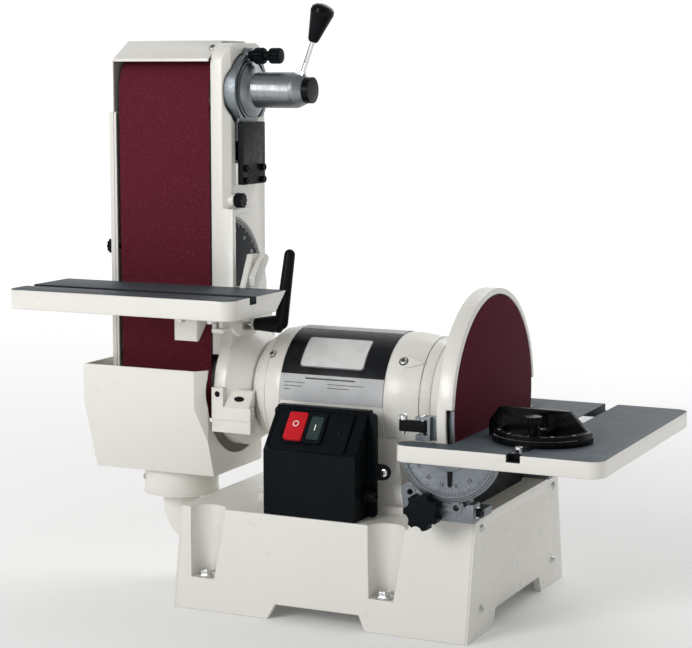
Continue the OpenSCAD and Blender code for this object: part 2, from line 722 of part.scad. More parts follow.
// Lever hub on the end of the boss, with its rod, tapered knob and end cap
module tension_lever() {
    color(aluminium) turned(0, idler_z) polygon([[0, boss_x1 + 0.3], [26, boss_x1 + 0.3],
        [25.5, -83], [20, hub_x1], [0, hub_x1]]);
    color(black) rod_x(19, hub_x1, -60, 0, idler_z);
    color(steel) translate([-78, 0, 752]) rotate([0, 20, 0]) {
        cylinder(r = 6, h = 7, $fn = 6);
        cylinder(r = 3.6, h = 52);
    }
    color(black) translate([-78, 0, 752]) rotate([0, 20, 0]) rotate_extrude() polygon([
        [0, 51.9], [6, 51.9], [8, 55], [15.5, 88], [17.5, 96], [16.5, 102], [12, 106], [5, 108],
        [0, 108.3]]);
}

module tracking_knob() color(black) {
    rod_x(3.5, web_x1 + 1, -130, 0, tracking_z);
    translate([-133, 0, tracking_z]) rotate([0, 90, 0]) fluted(11.5, 23, 14);
}

module tracking_lock_knob() color(black) difference() {
    union() {
        rod_x(8, ring_x1 + 0.3, -154, 0, tracking_z);
        translate([-154, 0, tracking_z]) rotate([0, 90, 0]) fluted(12, 20.5, 14);
    }
    rod_x(3.5 + fit, -190, -120, 0, tracking_z);
}

// ---- belt table ----

module belt_table_section() polygon([
    [belt_table_y0, belt_table_z - belt_table_t], [-89.6, belt_table_z - belt_table_t],
    [belt_table_y1, belt_table_z - 2], [belt_table_y1, belt_table_z], [belt_table_y0, belt_table_z]]);

module belt_table() color(iron) difference() {
    intersection() {
        along_x(belt_table_x0, belt_table_x1) belt_table_section();
        along_z(400, 460) {
            round_rect([belt_table_x0, belt_table_y0], [belt_table_x1, belt_table_y1 + 40], 22);
        }
    }
    block([-500, 0], [-169, -150], [belt_table_z - slot_depth, 460]);
    for (x = [-200, -150]) rod_z(4.1, 400, 432, x, -145);
}

module quadrant_2d() translate([belt_tilt_y, belt_tilt_z]) difference() {
    union() {
        circle(57);
        intersection() {
            circle(70);
            polygon([[0, 0], [90, -50], [60, -120], [-110, -120], [-110, -40]]);
        }
    }
    // curved slot for the lock stud, 48 degrees long
    difference() {
        circle(quadrant_slot_r + 5.5);
        circle(quadrant_slot_r - 5.5);
        polygon([[0, 0], 200 * [cos(lock_angle), sin(lock_angle)], [200, 0], [200, 200],
            [-200, 200], 200 * [cos(lock_angle - 48), sin(lock_angle - 48)]]);
    }
    for (a = [lock_angle, lock_angle - 48])
        translate(quadrant_slot_r * [cos(a), sin(a)]) circle(5.5);
}

module belt_table_bracket() color(cream) difference() {
    union() {
        along_x(quadrant_x[0], quadrant_x[1]) intersection() {
            quadrant_2d();
            polygon([[-140, 360], [40, 360], [40, 440], [20, 494], [-42, 494], [-70, 440], [-140, 440]]);
        }
        // sloping rib above the table
        along_x(quadrant_x[1] - 1, -126) polygon([[-57, 448], [-48, 448], [-30, 464], [-12, 488],
            [-22, 494], [-36, 486], [-57, 462]]);
        block([bracket_x[0], quadrant_x[1]], [-160, -104], [belt_table_z - belt_table_t - 9,
            belt_table_z - belt_table_t]);
        // box under the table, its back cut away for the tilt
        along_x(bracket_x[0], -180)
            polygon([[-134, 412], [-134, 375], [-129, 375], [-105, 399], [-105, 412]]);
        for (x = [-158, quadrant_x[0]]) along_x(x, x + 6) polygon([
            [-129, 412], [-129, 390], [-105, 399], [-105, 412]]);
        block([-156, quadrant_x[1]], [-134, -112], [389, 395]);
    }
    along_x(-500, 0) belt_table_section();
    for (x = [-200, -150]) rod_z(4.1, 400, 432, x, -145);
}

module belt_table_bolts() color(steel) for (x = [-200, -150])
    translate([x, -145, belt_table_z - belt_table_t - 9]) mirror([0, 0, 1]) hex_bolt(4, 7.4, 6, 20);

module lock_lever() {
    color(steel) rod_x(5, -172, -136, lock_y, lock_z);
    color(steel) translate([-136.4, lock_y, lock_z]) rotate([0, 90, 0]) cylinder(r = 10, h = 5);
    color(black) {
        hull() {
            rod_x(9, -132, -130, lock_y, lock_z, $fn = 32);
            rod_x(11, -96, -92, lock_y, lock_z, $fn = 32);
            translate([-90, lock_y, lock_z + 6]) sphere(10, $fn = 24);
        }
        hull() {
            translate([-90, lock_y, lock_z + 4]) sphere(10, $fn = 24);
            translate([-76, lock_y, lock_z + 104]) sphere(8, $fn = 24);
        }
    }
}

// ---- dust collection ----

module hood_outline(inset, top) polygon([
    [-118 + inset, top], [-118 + inset, 272], [-85 + inset * 0.9, 168 + inset],
    [62 - inset, 168 + inset], [66 - inset, 172 + inset], [66 - inset, top]]);
module hood_plan(inset) polygon([
    [hood_x[0] + inset, -118 + inset], [hood_x[1] - 14, -118 + inset],
    [hood_x[1] - inset, -102], [hood_x[1] - inset, 66 - inset], [hood_x[0] + inset, 66 - inset]]);

module dust_hood() color(cream) difference() {
    intersection() {
        along_x(hood_x[0], hood_x[1]) hood_outline(0, 328);
        along_z(150, 340) hood_plan(0);
    }
    intersection() {
        along_x(hood_x[0], hood_x[1]) hood_outline(hood_wall, 340);
        along_z(150, 350) hood_plan(hood_wall);
    }
    // the back is low so that the arm can lie down
    block([hood_x[0] + hood_wall, hood_x[1] - hood_wall - 1], [50, 80], [218, 340]);
    rod_x(hood_cut_r, hood_x[1] - hood_wall - 2, hood_x[1] + 5, 0, spindle_z);
    block([hood_x[1] - hood_wall - 2, hood_x[1] + 5], [-60, 80], [spindle_z - 10, 340]);
    block([hood_x[1] - hood_wall - 2, hood_x[1] + 5], [48, 80], [202, 340]);
    rod_z(52, 160, 175, belt_mid_x, dust_y);
}

module dust_collar() color(cream) difference() {
    rod_z(56, 126, 168, belt_mid_x, dust_y);
    rod_z(52, 131, 170, belt_mid_x, dust_y);
    rod_z(pipe_r + 0.05, 120, 140, belt_mid_x, dust_y);
}

module dust_elbow() color(cream) {
    difference() {
        rod_z(pipe_r, pipe_z, 136, belt_mid_x, dust_y);
        rod_z(pipe_r - pipe_t, pipe_z - 1, 140, belt_mid_x, dust_y);
    }
    difference() {
        rod_x(pipe_r, belt_mid_x + pipe_bend, base_x0 + 14, dust_y, pipe_z - pipe_bend);
        rod_x(pipe_r - pipe_t, belt_mid_x + pipe_bend - 1, base_x0 + 15, dust_y, pipe_z - pipe_bend);
    }
    translate([belt_mid_x + pipe_bend, dust_y, pipe_z]) intersection() {
        rotate([90, 0, 0]) rotate_extrude() translate([pipe_bend, 0]) difference() {
            circle(pipe_r);
            circle(pipe_r - pipe_t);
        }
        translate([-100, -50, -100]) cube([100, 100, 100]);
    }
}

// ---- disc end ----

module disc_guard() color(cream) {
    difference() {
        union() {
            rod_x(guard_r, guard_x0, guard_x1, 0, spindle_z);
            turned(0, spindle_z) polygon([[70, bell_right_x + 0.02], [85, bell_right_x + 0.02],
                [90, 182], [98, guard_x0 + 1], [70, guard_x0 + 1]]);
        }
        rod_x(disc_r + 5.6, guard_x0 + 3, guard_x1 + 5, 0, spindle_z);
        rod_x(70, bell_right_x - 5, guard_x0 + 5, 0, spindle_z);
        block([guard_x0 - 0.01, guard_x1 + 5], [-200, 200], [100, guard_low_z]);
        block([215.5, guard_x1 + 5], [-200, 200], [100, guard_step_z]);
    }
    // inner lip round the open side
    difference() {
        rod_x(guard_r - 1, guard_x1 - 3, guard_x1, 0, spindle_z);
        rod_x(disc_r + 1.6, guard_x1 - 4, guard_x1 + 1, 0, spindle_z);
        block([200, 240], [-200, 200], [100, guard_step_z]);
    }
}

module disc_chute() color(black) difference() {
    intersection() {
        rod_x(chute_r, chute_x[0], chute_x[1], 0, spindle_z);
        block(chute_x, [-200, 200], chute_z);
    }
    rod_x(chute_r - 2.5, chute_x[0] + 2, chute_x[1] - 2, 0, spindle_z);
}

module disc_table_plan() {
    round_rect([disc_table_edge_x, disc_table_y0], [disc_table_x1, disc_table_y1], 20);
    round_rect([disc_table_x0, disc_table_y0], [disc_table_edge_x + 30, -ledge_y], 16);
    round_rect([disc_table_x0, ledge_y], [disc_table_edge_x + 30, disc_table_y1], 16);
}

module disc_table() color(iron) difference() {
    along_z(disc_table_z - disc_table_t, disc_table_z) disc_table_plan();
    block([disc_slot_x, disc_slot_x + slot_w], [-300, 300], [disc_table_z - slot_depth, 300]);
    // relief that clears the disc when the table tilts
    along_y(-ledge_y, ledge_y) polygon([[220, disc_table_z - 1.5], [disc_table_edge_x, disc_table_z - 1.5],
        [disc_table_edge_x + 20, disc_table_z - disc_table_t - 1], [220, disc_table_z - disc_table_t - 1]]);
    for (y = [-145, -5, 95]) {
        block([350, 434], [y, y + (y < -100 ? 130 : 90)], [240, disc_table_z - 10]);
        block([256, 306], [y, y + (y < -100 ? 130 : 90)], [240, disc_table_z - 10]);
    }
}

module half_disc(y0, y1) difference() {
    rod_y(trunnion_r, y0, y1, disc_tilt_x, disc_table_z);
    block([100, 400], [y0 - 1, y1 + 1], [disc_table_z - disc_table_t, 400]);
    // the outer face is sunk inside its rim
    difference() {
        rod_y(64, y0 - 1, y0 + 2, disc_tilt_x, disc_table_z);
        rod_y(30, y0 - 1, y0 + 2, disc_tilt_x, disc_table_z);
    }
}
module disc_trunnions() color(iron) {
    half_disc(-203, -193);
    mirror([0, 1, 0]) half_disc(-203, -193);
}

module bracket_outline() difference() {
    union() {
        polygon([[169, 206], [171, 182], [177, 168], [272, 168], [272, 193], [264, 193],
            [258, 188], [247, 198], [225, 192], [194, 214], [178, 216]]);
        translate([181.5, 203]) circle(13);
        translate([247.5, 187]) circle(11);
    }
    translate([disc_tilt_x, disc_table_z]) circle(trunnion_r + 1);
}
module trunnion_bracket() difference() {
    union() {
        along_y(-202, -178) bracket_outline();
        along_y(-192, -178) polygon([[180, 168], [266, 168],
            [262, 200], [243, 221], [184, 221]]);
        block([177, 266], [-180, -118], [block_h, block_h + 11]);
    }
    translate([181.5, -230, 203]) rotate([-90, 0, 0]) cylinder(r = 4, h = 60);
    translate([247.5, -230, 187]) rotate([-90, 0, 0]) cylinder(r = 4, h = 60);
    rod_y(4 + fit, -230, -170, star_at[0], star_at[1]);
    for (x = [186, 250]) rod_z(4.1, 150, 190, x, -140);
    rod_x(4.1, 255, 280, -190, 181);
}
module trunnion_brackets() color(iron) {
    trunnion_bracket();
    mirror([0, 1, 0]) trunnion_bracket();
}

// Seven-lobed clamping knob and its stud
module star_knob() color(black) {
    difference() {
        rod_y(25, -222, -204, star_at[0], star_at[1]);
        for (i = [0:6]) translate([star_at[0], 0, star_at[1]]) rotate([0, i * 360 / 7, 0])
            translate([28.5, -230, 0]) rotate([-90, 0, 0]) cylinder(r = 8.5, h = 40, $fn = 48);
    }
    rod_y(9, -204, -202.3, star_at[0], star_at[1]);
    rod_y(4, -202.4, -176, star_at[0], star_at[1]);
}
module star_knob_front() star_knob();
module star_knob_rear() mirror([0, 1, 0]) star_knob();

module brake_bracket() color(aluminium) difference() {
    block([171, guard_x0], [-160.5, -141], [264, 297]);
    block([165, 188], [-165, -144], [272, 293]);
    block([192, guard_x0], [-165, -150], [260, 300]);
    rod_z(2.5 + fit, 260, 300, brake_pin[0], brake_pin[1]);
}

// Finger lever of the disc brake, with its pivot pin and finger post
module brake_lever() color(black) {
    difference() {
        block([146.5, 185], [-159.5, -152.5], [275.5, 291]);
        rod_z(3, 270, 300, 152, brake_pin[1]);
    }
    rod_z(2.5, 265, 297, brake_pin[0], brake_pin[1]);
    rod_z(3, 271, 293, 152, brake_pin[1]);
    rod_z(5, 291, 296, 152, brake_pin[1]);
}

// ---- mitre gauge ----

module mitre_bar() color(steel) {
    block([bar_x0, bar_x0 + bar_w], [-190, 110], [disc_table_z - slot_depth + 0.4, disc_table_z - 0.2]);
    rod_z(5, disc_table_z - 0.3, disc_table_z + 12, bar_mid_x, mitre_y);
    // pointer screw in front of the head
    rod_z(4.5, disc_table_z - 0.3, disc_table_z + 5, bar_mid_x, -183);
}

// Half round plate with a raised rim, and the fence across its back
module mitre_head() color(black) difference() {
    union() {
        intersection() {
            union() {
                rod_z(mitre_r, disc_table_z + 0.3, disc_table_z + 9, bar_mid_x, mitre_y);
                difference() {
                    rod_z(mitre_r - 3, disc_table_z + 8, disc_table_z + 15, bar_mid_x, mitre_y);
                    rod_z(56, disc_table_z + 9, disc_table_z + 20, bar_mid_x, mitre_y);
                }
            }
            block([200, 420], [-200, mitre_y + 2], [260, 290]);
        }
        rod_z(14, disc_table_z + 0.3, disc_table_z + 15, bar_mid_x, mitre_y);
        along_y(mitre_y + 1, mitre_y + 10) polygon([[248, 265.6], [393, 265.6], [393, 277],
            [362, 306], [263, 306], [248, 286]]);
    }
    rod_z(5 + fit, 260, 300, bar_mid_x, mitre_y);
    rod_z(4 + fit, 260, 300, bar_mid_x, mitre_knob_y);
}

module mitre_knob() color(black) translate([bar_mid_x, mitre_knob_y, disc_table_z + 9.3]) {
    cylinder(r = 8, h = 3);
    cylinder(r = 5.5, h = 18);
    translate([0, 0, 17.5]) fluted(13, 12, 16);
    translate([0, 0, -7]) cylinder(r = 4, h = 9);
}

base_casting();
base_side_covers();
base_cover_screws();
bench_bolts();
dust_port();
pedestal();
m8_bolts();
motor_shell();
motor_label();
end_bell_left();
end_bell_right();
stator();
motor_bearings();
motor_shaft();
rotor();
drive_drum();
disc_plate();
abrasive_disc();
switch_box();
switch_panel();
off_button();
on_button();
cord_gland();
belt_arm();
arm_clamp_cap();
arm_screws();
belt_side_cover();
belt_cover();
platen();
sanding_belt();
clamp_plate();
angle_scale();
cover_knob();
side_knob();
idler_drum();
idler_axle();
tension_bracket();
tension_spring();
tension_lever();
tracking_knob();
tracking_lock_knob();
belt_table();
belt_table_bracket();
belt_table_bolts();
lock_lever();
dust_hood();
dust_collar();
dust_elbow();
disc_guard();
disc_chute();
disc_table();
disc_trunnions();
trunnion_brackets();
star_knob_front();
star_knob_rear();
brake_bracket();
brake_lever();
mitre_bar();
mitre_head();
mitre_knob();
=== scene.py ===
"""Belt and disc sander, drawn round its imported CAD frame."""
import bpy
import bmesh
import json
import math
from mathutils import Matrix, Vector


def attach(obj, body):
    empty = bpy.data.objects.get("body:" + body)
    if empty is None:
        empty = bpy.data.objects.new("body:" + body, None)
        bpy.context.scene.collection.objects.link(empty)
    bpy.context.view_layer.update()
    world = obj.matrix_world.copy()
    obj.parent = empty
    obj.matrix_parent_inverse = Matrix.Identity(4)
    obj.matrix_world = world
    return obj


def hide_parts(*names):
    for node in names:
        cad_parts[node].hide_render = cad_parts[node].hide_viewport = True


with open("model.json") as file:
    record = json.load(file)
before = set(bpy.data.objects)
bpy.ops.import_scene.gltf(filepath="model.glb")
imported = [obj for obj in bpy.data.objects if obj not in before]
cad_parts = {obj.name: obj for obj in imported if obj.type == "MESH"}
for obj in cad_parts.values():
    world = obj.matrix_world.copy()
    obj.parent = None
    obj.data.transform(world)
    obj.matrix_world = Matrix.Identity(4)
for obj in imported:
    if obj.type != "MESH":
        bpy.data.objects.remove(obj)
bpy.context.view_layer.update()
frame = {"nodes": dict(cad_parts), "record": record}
nodes = frame["nodes"]
MM = 0.001

# places on the CAD frame, in millimetres
SPINDLE_Z = 295.0
IDLER_Z = 731.5
TRACKING_SCREW_Z = 781.0
BELT_TABLE_TOP = 446.8
BELT_TABLE_SLOT_Y = (-169.5, -149.5)
DISC_TABLE_TOP = 265.3
TRUNNION_X = 236.5
TRUNNION_FACE_Y = 202.2
GAUGE_X = 327.0
GAUGE_PIVOT_Y = -85.0
SLOT_HALF_WIDTH = 10.0
SLOT_DEPTH = 10.2
LABEL_INSIDE, LABEL_OUTSIDE = 93.7, 94.0
LABEL_X = (-69.4, 92.4)
CLAMP_PLATE_X = -156.5
SIDE_COVER_Y = (-57.9, 62.0)
SIDE_COVER_Z = (300.0, 699.0)
BENCH_BOLT_X = (-144, 133)
BENCH_BOLT_Y = 176

# ---------------------------------------------------------------- camera

CAMERA_AT = Vector((1.1677, -2.5130, 0.7595))
CAMERA_AZIMUTH = math.radians(25.06)
CAMERA_ELEVATION = math.radians(7.506)


def make_camera():
    data = bpy.data.cameras.new("camera")
    data.lens = 100.0
    data.sensor_width = 36.0
    data.clip_end = 50.0
    camera = bpy.data.objects.new("camera", data)
    bpy.context.scene.collection.objects.link(camera)
    look = Vector((-math.sin(CAMERA_AZIMUTH) * math.cos(CAMERA_ELEVATION),
                   math.cos(CAMERA_AZIMUTH) * math.cos(CAMERA_ELEVATION),
                   -math.sin(CAMERA_ELEVATION)))
    camera.location = CAMERA_AT
    camera.rotation_mode = "QUATERNION"
    camera.rotation_quaternion = look.to_track_quat("-Z", "Y")
    bpy.context.scene.camera = camera


make_camera()
bpy.context.scene.view_settings.view_transform = "Standard"

# ---------------------------------------------------------------- materials


class Shader:
    """A Principled material and short calls for the nodes that feed it."""

    def __init__(self, name, colour, rough, metal=0.0, coat=0.0, coat_rough=0.1, spec=0.5):
        self.material = bpy.data.materials.new(name)
        self.material.use_nodes = True
        self.tree = self.material.node_tree
        self.surface = self.tree.nodes["Principled BSDF"]
        self.colour = (*colour, 1.0)
        sockets = self.surface.inputs
        sockets["Base Color"].default_value = self.colour
        sockets["Roughness"].default_value = rough
        sockets["Metallic"].default_value = metal
        sockets["Coat Weight"].default_value = coat
        sockets["Coat Roughness"].default_value = coat_rough
        sockets["Specular IOR Level"].default_value = spec
        self.place = self.add("ShaderNodeTexCoord").outputs["Object"]
        self.height = None

    def add(self, kind, **settings):
        node = self.tree.nodes.new(kind)
        for key, value in settings.items():
            setattr(node, key, value)
        return node

    def link(self, source, target):
        self.tree.links.new(source, target)

    def stretched(self, scale):
        node = self.add("ShaderNodeMapping")
        node.inputs["Scale"].default_value = scale
        self.link(self.place, node.inputs["Vector"])
        return node.outputs["Vector"]

    def noise(self, scale, detail=3.0, rough=0.5, where=None):
        node = self.add("ShaderNodeTexNoise")
        node.inputs["Scale"].default_value = scale
        node.inputs["Detail"].default_value = detail
        node.inputs["Roughness"].default_value = rough
        self.link(where or self.place, node.inputs["Vector"])
        return node.outputs["Fac"]

    def cells(self, scale):
        node = self.add("ShaderNodeTexVoronoi")
        node.inputs["Scale"].default_value = scale
        self.link(self.place, node.inputs["Vector"])
        return node.outputs["Distance"]

    def ramp(self, value, low, high, at=(0.0, 1.0)):
        """Maps a value from the range at onto low to high."""
        node = self.add("ShaderNodeMapRange", clamp=True)
        node.inputs["From Min"].default_value = at[0]
        node.inputs["From Max"].default_value = at[1]
        node.inputs["To Min"].default_value = low
        node.inputs["To Max"].default_value = high
        self.link(value, node.inputs["Value"])
        return node.outputs["Result"]

    def tint(self, factor, colour):
        """Mixes the colour so far with another one by factor."""
        node = self.add("ShaderNodeMix", data_type="RGBA", blend_type="MIX")
        self.link(factor, node.inputs["Factor"])
        if self.surface.inputs["Base Color"].is_linked:
            self.link(self.surface.inputs["Base Color"].links[0].from_socket, node.inputs["A"])
        else:
            node.inputs["A"].default_value = self.colour
        node.inputs["B"].default_value = (*colour, 1.0)
        self.link(node.outputs["Result"], self.surface.inputs["Base Color"])

    def roughness(self, value):
        self.link(value, self.surface.inputs["Roughness"])

    def round_edges(self, radius):
        """Rounds the look of every edge of the shape by that radius in metres."""
        node = self.add("ShaderNodeBevel", samples=6)
        node.inputs["Radius"].default_value = radius
        self.height = node.outputs["Normal"]

    def bump(self, value, depth, strength=1.0):
        """Adds a bump of that depth in metres to the ones before it."""
        node = self.add("ShaderNodeBump")
        node.inputs["Strength"].default_value = strength
        node.inputs["Distance"].default_value = depth
        self.link(value, node.inputs["Height"])
        if self.height:
            self.link(self.height, node.inputs["Normal"])
        self.height = node.outputs["Normal"]
        self.link(self.height, self.surface.inputs["Normal"])


def shade(colour, times, plus=0.0):
    """A darker or paler tone of a colour."""
    return [min(1, c * times + plus) for c in colour]


def enamel(name, colour, cast):
    """Sprayed enamel; a casting under it shows as a faint unevenness."""
    s = Shader(name, colour, 0.32, coat=0.25, coat_rough=0.18)
    s.tint(s.ramp(s.noise(7.0, 4.0), 0.0, 0.35, (0.35, 0.75)), shade(colour, 0.93))
    s.tint(s.ramp(s.noise(900.0, 1.0), 0.0, 0.12, (0.55, 0.8)), shade(colour, 0.9))
    s.roughness(s.ramp(s.noise(60.0, 4.0), 0.27, 0.42, (0.3, 0.7)))
    s.round_edges(0.003 if cast else 0.0012)
    s.bump(s.noise(850.0, 2.0), 0.00012 if cast else 0.00006, 0.5)
    if cast:
        s.bump(s.noise(110.0, 3.0), 0.0006, 0.35)
    return s.material


def plastic(name, colour, rough=0.42):
    """Moulded plastic with a fine spark grain."""
    s = Shader(name, colour, rough, spec=0.07)
    s.tint(s.ramp(s.noise(35.0, 3.0), 0.0, 0.5, (0.4, 0.8)), shade(colour, 1.4, 0.003))
    s.roughness(s.ramp(s.noise(120.0, 4.0), rough - 0.07, rough + 0.1, (0.3, 0.7)))
    s.bump(s.cells(1400.0), 0.0001, 0.5)
    return s.material


def painted_black(name, colour=(0.0035, 0.004, 0.005), rough=0.3):
    """Black enamel or black oxide on metal."""
    s = Shader(name, colour, rough, spec=0.09)
    s.tint(s.ramp(s.noise(90.0, 4.0), 0.0, 0.6, (0.5, 0.8)), shade(colour, 1.9))
    s.roughness(s.ramp(s.noise(70.0, 4.0), rough - 0.08, rough + 0.14, (0.3, 0.7)))
    s.bump(s.noise(700.0, 2.0), 0.00008, 0.5)
    return s.material


def metal(name, colour, rough=0.3, streak=(1.0, 1.0, 1.0), scale=500.0, depth=0.00003, shine=1.0):
    """Machined metal, its tool marks drawn out along the axis with the smallest streak value."""
    s = Shader(name, colour, rough, metal=shine, spec=0.12)
    marks = s.noise(scale, 4.0, 0.6, s.stretched(streak))
    s.tint(s.ramp(marks, 0.0, 0.6, (0.4, 0.7)), shade(colour, 0.72))
    s.tint(s.ramp(s.noise(22.0, 4.0), 0.0, 0.45, (0.5, 0.8)), shade(colour, 0.8))
    s.roughness(s.ramp(marks, rough - 0.08, rough + 0.12, (0.3, 0.7)))
    s.bump(marks, depth, 0.5)
    return s.material


def turned_metal(name, colour, rough=0.25):
    """Metal turned in a lathe about a line along X, with fine rings along it."""
    s = Shader(name, colour, rough, metal=1.0)
    rings = s.noise(1500.0, 2.0, 0.5, s.stretched((1.0, 0.004, 0.004)))
    s.tint(s.ramp(rings, 0.0, 0.5, (0.35, 0.7)), shade(colour, 0.75))
    s.tint(s.ramp(s.noise(30.0, 4.0), 0.0, 0.35, (0.5, 0.8)), shade(colour, 0.8))
    s.roughness(s.ramp(rings, rough - 0.06, rough + 0.12, (0.3, 0.7)))
    s.bump(rings, 0.00003, 0.5)
    return s.material


def abrasive(name, colour):
    """Closely packed abrasive grit with a few paler and darker grains."""
    grain = 1500.0
    s = Shader(name, colour, 0.85, spec=0.06)
    grit = s.cells(grain)
    s.tint(s.ramp(grit, 0.0, 0.75, (0.25, 0.75)), shade(colour, 0.45))
    s.tint(s.ramp(s.noise(grain * 0.9, 2.0), 0.0, 0.55, (0.58, 0.75)), shade(colour, 1.7, 0.02))
    s.tint(s.ramp(s.noise(9.0, 4.0), 0.0, 0.4, (0.45, 0.75)), shade(colour, 0.8))
    s.tint(s.ramp(s.noise(420.0, 2.0), 0.0, 0.7, (0.5, 0.7)), shade(colour, 0.62))
    s.tint(s.ramp(s.noise(380.0, 2.0), 0.0, 0.45, (0.58, 0.72)), shade(colour, 1.5, 0.01))
    s.roughness(s.ramp(grit, 0.62, 0.9))
    s.bump(grit, 0.00035, 0.7)
    return s.material


def printed_film(name, colour):
    """Printed film, smooth and faintly glossy."""
    s = Shader(name, colour, 0.3, coat=0.05, coat_rough=0.08, spec=0.2)
    s.tint(s.ramp(s.noise(40.0, 3.0), 0.0, 0.4, (0.45, 0.8)), shade(colour, 1.3, 0.001))
    s.roughness(s.ramp(s.noise(90.0, 4.0), 0.26, 0.4, (0.3, 0.7)))
    s.bump(s.noise(500.0, 2.0), 0.00002, 0.5)
    return s.material


CREAM = (0.74, 0.725, 0.675)
STEEL_BLUE = (0.085, 0.104, 0.122)
# the material of each slot in the record
M = {
    "cream_casting": enamel("cream_casting", CREAM, True),
    "cream_sheet": enamel("cream_sheet", CREAM, False),
    "zinc_steel": metal("zinc_steel", (0.62, 0.62, 0.60), 0.3, scale=900.0),
    "black_plastic": plastic("black_plastic", (0.003, 0.0045, 0.006)),
    "black_metal": painted_black("black_metal"),
    "label_film": printed_film("label_film", (0.004, 0.005, 0.007)),
    "laminations": metal("laminations", (0.3, 0.3, 0.3), 0.5, (1.0, 0.02, 0.02), 900.0),
    "ground_steel": metal("ground_steel", (0.62, 0.64, 0.66), 0.22, (1.0, 0.02, 0.02), 900.0),
    "drum_steel": turned_metal("drum_steel", (0.58, 0.6, 0.62)),
    "cast_aluminium": metal("cast_aluminium", (0.24, 0.265, 0.285), 0.45, (0.5, 1.0, 1.0), 700.0, 0.00006),
    "abrasive_cloth": abrasive("abrasive_cloth", (0.125, 0.016, 0.028)),
    "abrasive_paper": abrasive("abrasive_paper", (0.105, 0.014, 0.026)),
    "red_plastic": plastic("red_plastic", (0.50, 0.014, 0.022), 0.3),
    "dark_green_plastic": plastic("dark_green_plastic", (0.030, 0.048, 0.045), 0.35),
    "table_iron": metal("table_iron", STEEL_BLUE, 0.5, (0.03, 1.0, 1.0), 600.0, shine=0.12),
    "trunnion_iron": metal("trunnion_iron", (0.20, 0.22, 0.24), 0.46, scale=420.0, depth=0.0002),
    "scale_plate": painted_black("scale_plate", (0.016, 0.02, 0.024), 0.4),
}
# further looks for single faces and added pieces
LOOKS = dict(M)
LOOKS.update({
    "black_gloss": painted_black("black_gloss", (0.003, 0.0035, 0.0045), 0.22),
    # dark iron for the tables' slots: painted shade inside the slot
    "shaded_slot_iron": metal("shaded_slot_iron", (0.018, 0.022, 0.026), 0.5, shine=0.2),
    "chrome": metal("chrome", (0.74, 0.75, 0.76), 0.14, scale=300.0),
    "silver_print": plastic("silver_print", (0.46, 0.47, 0.48), 0.4),
    "silver_plate": plastic("silver_plate", (0.60, 0.60, 0.59), 0.34),
    "dark_silver": metal("dark_silver", (0.20, 0.21, 0.22), 0.35, scale=500.0),
    "dark_print": printed_film("dark_print", (0.02, 0.022, 0.028)),
    "white_print": plastic("white_print", (0.72, 0.72, 0.70), 0.5),
    # near black for black socket screws, and as painted shade for holes, gaps, recesses and slots drawn as
    # dark pieces and faces
    "black_and_hole_shade": painted_black("black_and_hole_shade", (0.006, 0.006, 0.008), 0.5),
    "cream_shadow": enamel("cream_shadow", (0.30, 0.29, 0.25), False),
    "polished_cone": metal("polished_cone", (0.27, 0.285, 0.30), 0.4, (1.0, 0.06, 0.06), 500.0, 0.00002),
})

# ---------------------------------------------------------------- CAD nodes

node_slot = {p["node"]: p["material_slot"] for p in frame["record"]["subparts"]}


def soften(obj, width):
    """Rounds every sharp edge of a shape that CAD leaves square."""
    weld = obj.modifiers.new("weld", "WELD")
    weld.merge_threshold = 2e-5
    flat = obj.modifiers.new("flat", "DECIMATE")
    flat.decimate_type = "DISSOLVE"
    flat.angle_limit = math.radians(0.3)
    flat.delimit = {"MATERIAL"}
    bevel = obj.modifiers.new("edges", "BEVEL")
    bevel.width = width
    bevel.segments = 3
    bevel.limit_method = "ANGLE"
    bevel.angle_limit = math.radians(32.0)
    bevel.use_clamp_overlap = True
    bevel.harden_normals = True
    bevel.miter_outer = "MITER_ARC"
    obj.data.shade_smooth()


# edge radii in millimetres; the base casting has none, its shader rounds its edges
DEFAULT_SOFT_EDGE = 0.5
SOFT_EDGES = {
    "base_casting": 0, "pedestal": 3.0, "belt_arm": 2.0, "arm_clamp_cap": 2.5, "belt_table": 1.2,
    "disc_table": 1.2, "dust_hood": 1.0, "disc_guard": 1.5, "switch_box": 2.5, "belt_table_bracket": 2.0,
    "trunnion_brackets": 1.0, "tension_bracket": 1.0, "belt_cover": 0.8, "base_side_covers": 0.8,
}


def table_look(top, axis, slot):
    """Ground top, slot drawn dark as painted shade, and painted sides; the slot lies between two places on an
    axis.
    """
    def look(p, n):
        # the slot's own faces take the dark iron: painted shade inside the slot
        if slot[0] < p[axis] < slot[1] and top - SLOT_DEPTH < p.z < top - 0.2:
            return "shaded_slot_iron"
        return None if n.z > 0.9 and p.z > top - 1 else "cream_casting"
    return look


def lever_look(p, n):
    """Black knob on a bright rod, and a black cap on the end of the turned hub."""
    lean = math.radians(20)
    rod_x, rod_z, knob_from = -78, 752, 51.0
    along = (p.x - rod_x) * math.sin(lean) + (p.z - rod_z) * math.cos(lean)
    if p.z > rod_z + 3 and along > knob_from:
        return "black_gloss"
    if p.z > rod_z and abs(p.y) < 8:
        return "chrome"
    if p.x > -70.4 and math.hypot(p.y, p.z - IDLER_Z) < 19.5:
        return "black_gloss"
    return "polished_cone"


def bolt_look(p, n):
    """The cap screws in the ends of the table's brackets: black heads on bright washers."""
    if p.x > 270 and 165 < p.z < 192:
        return "black_metal" if p.x > 273.3 else "chrome"
    return None


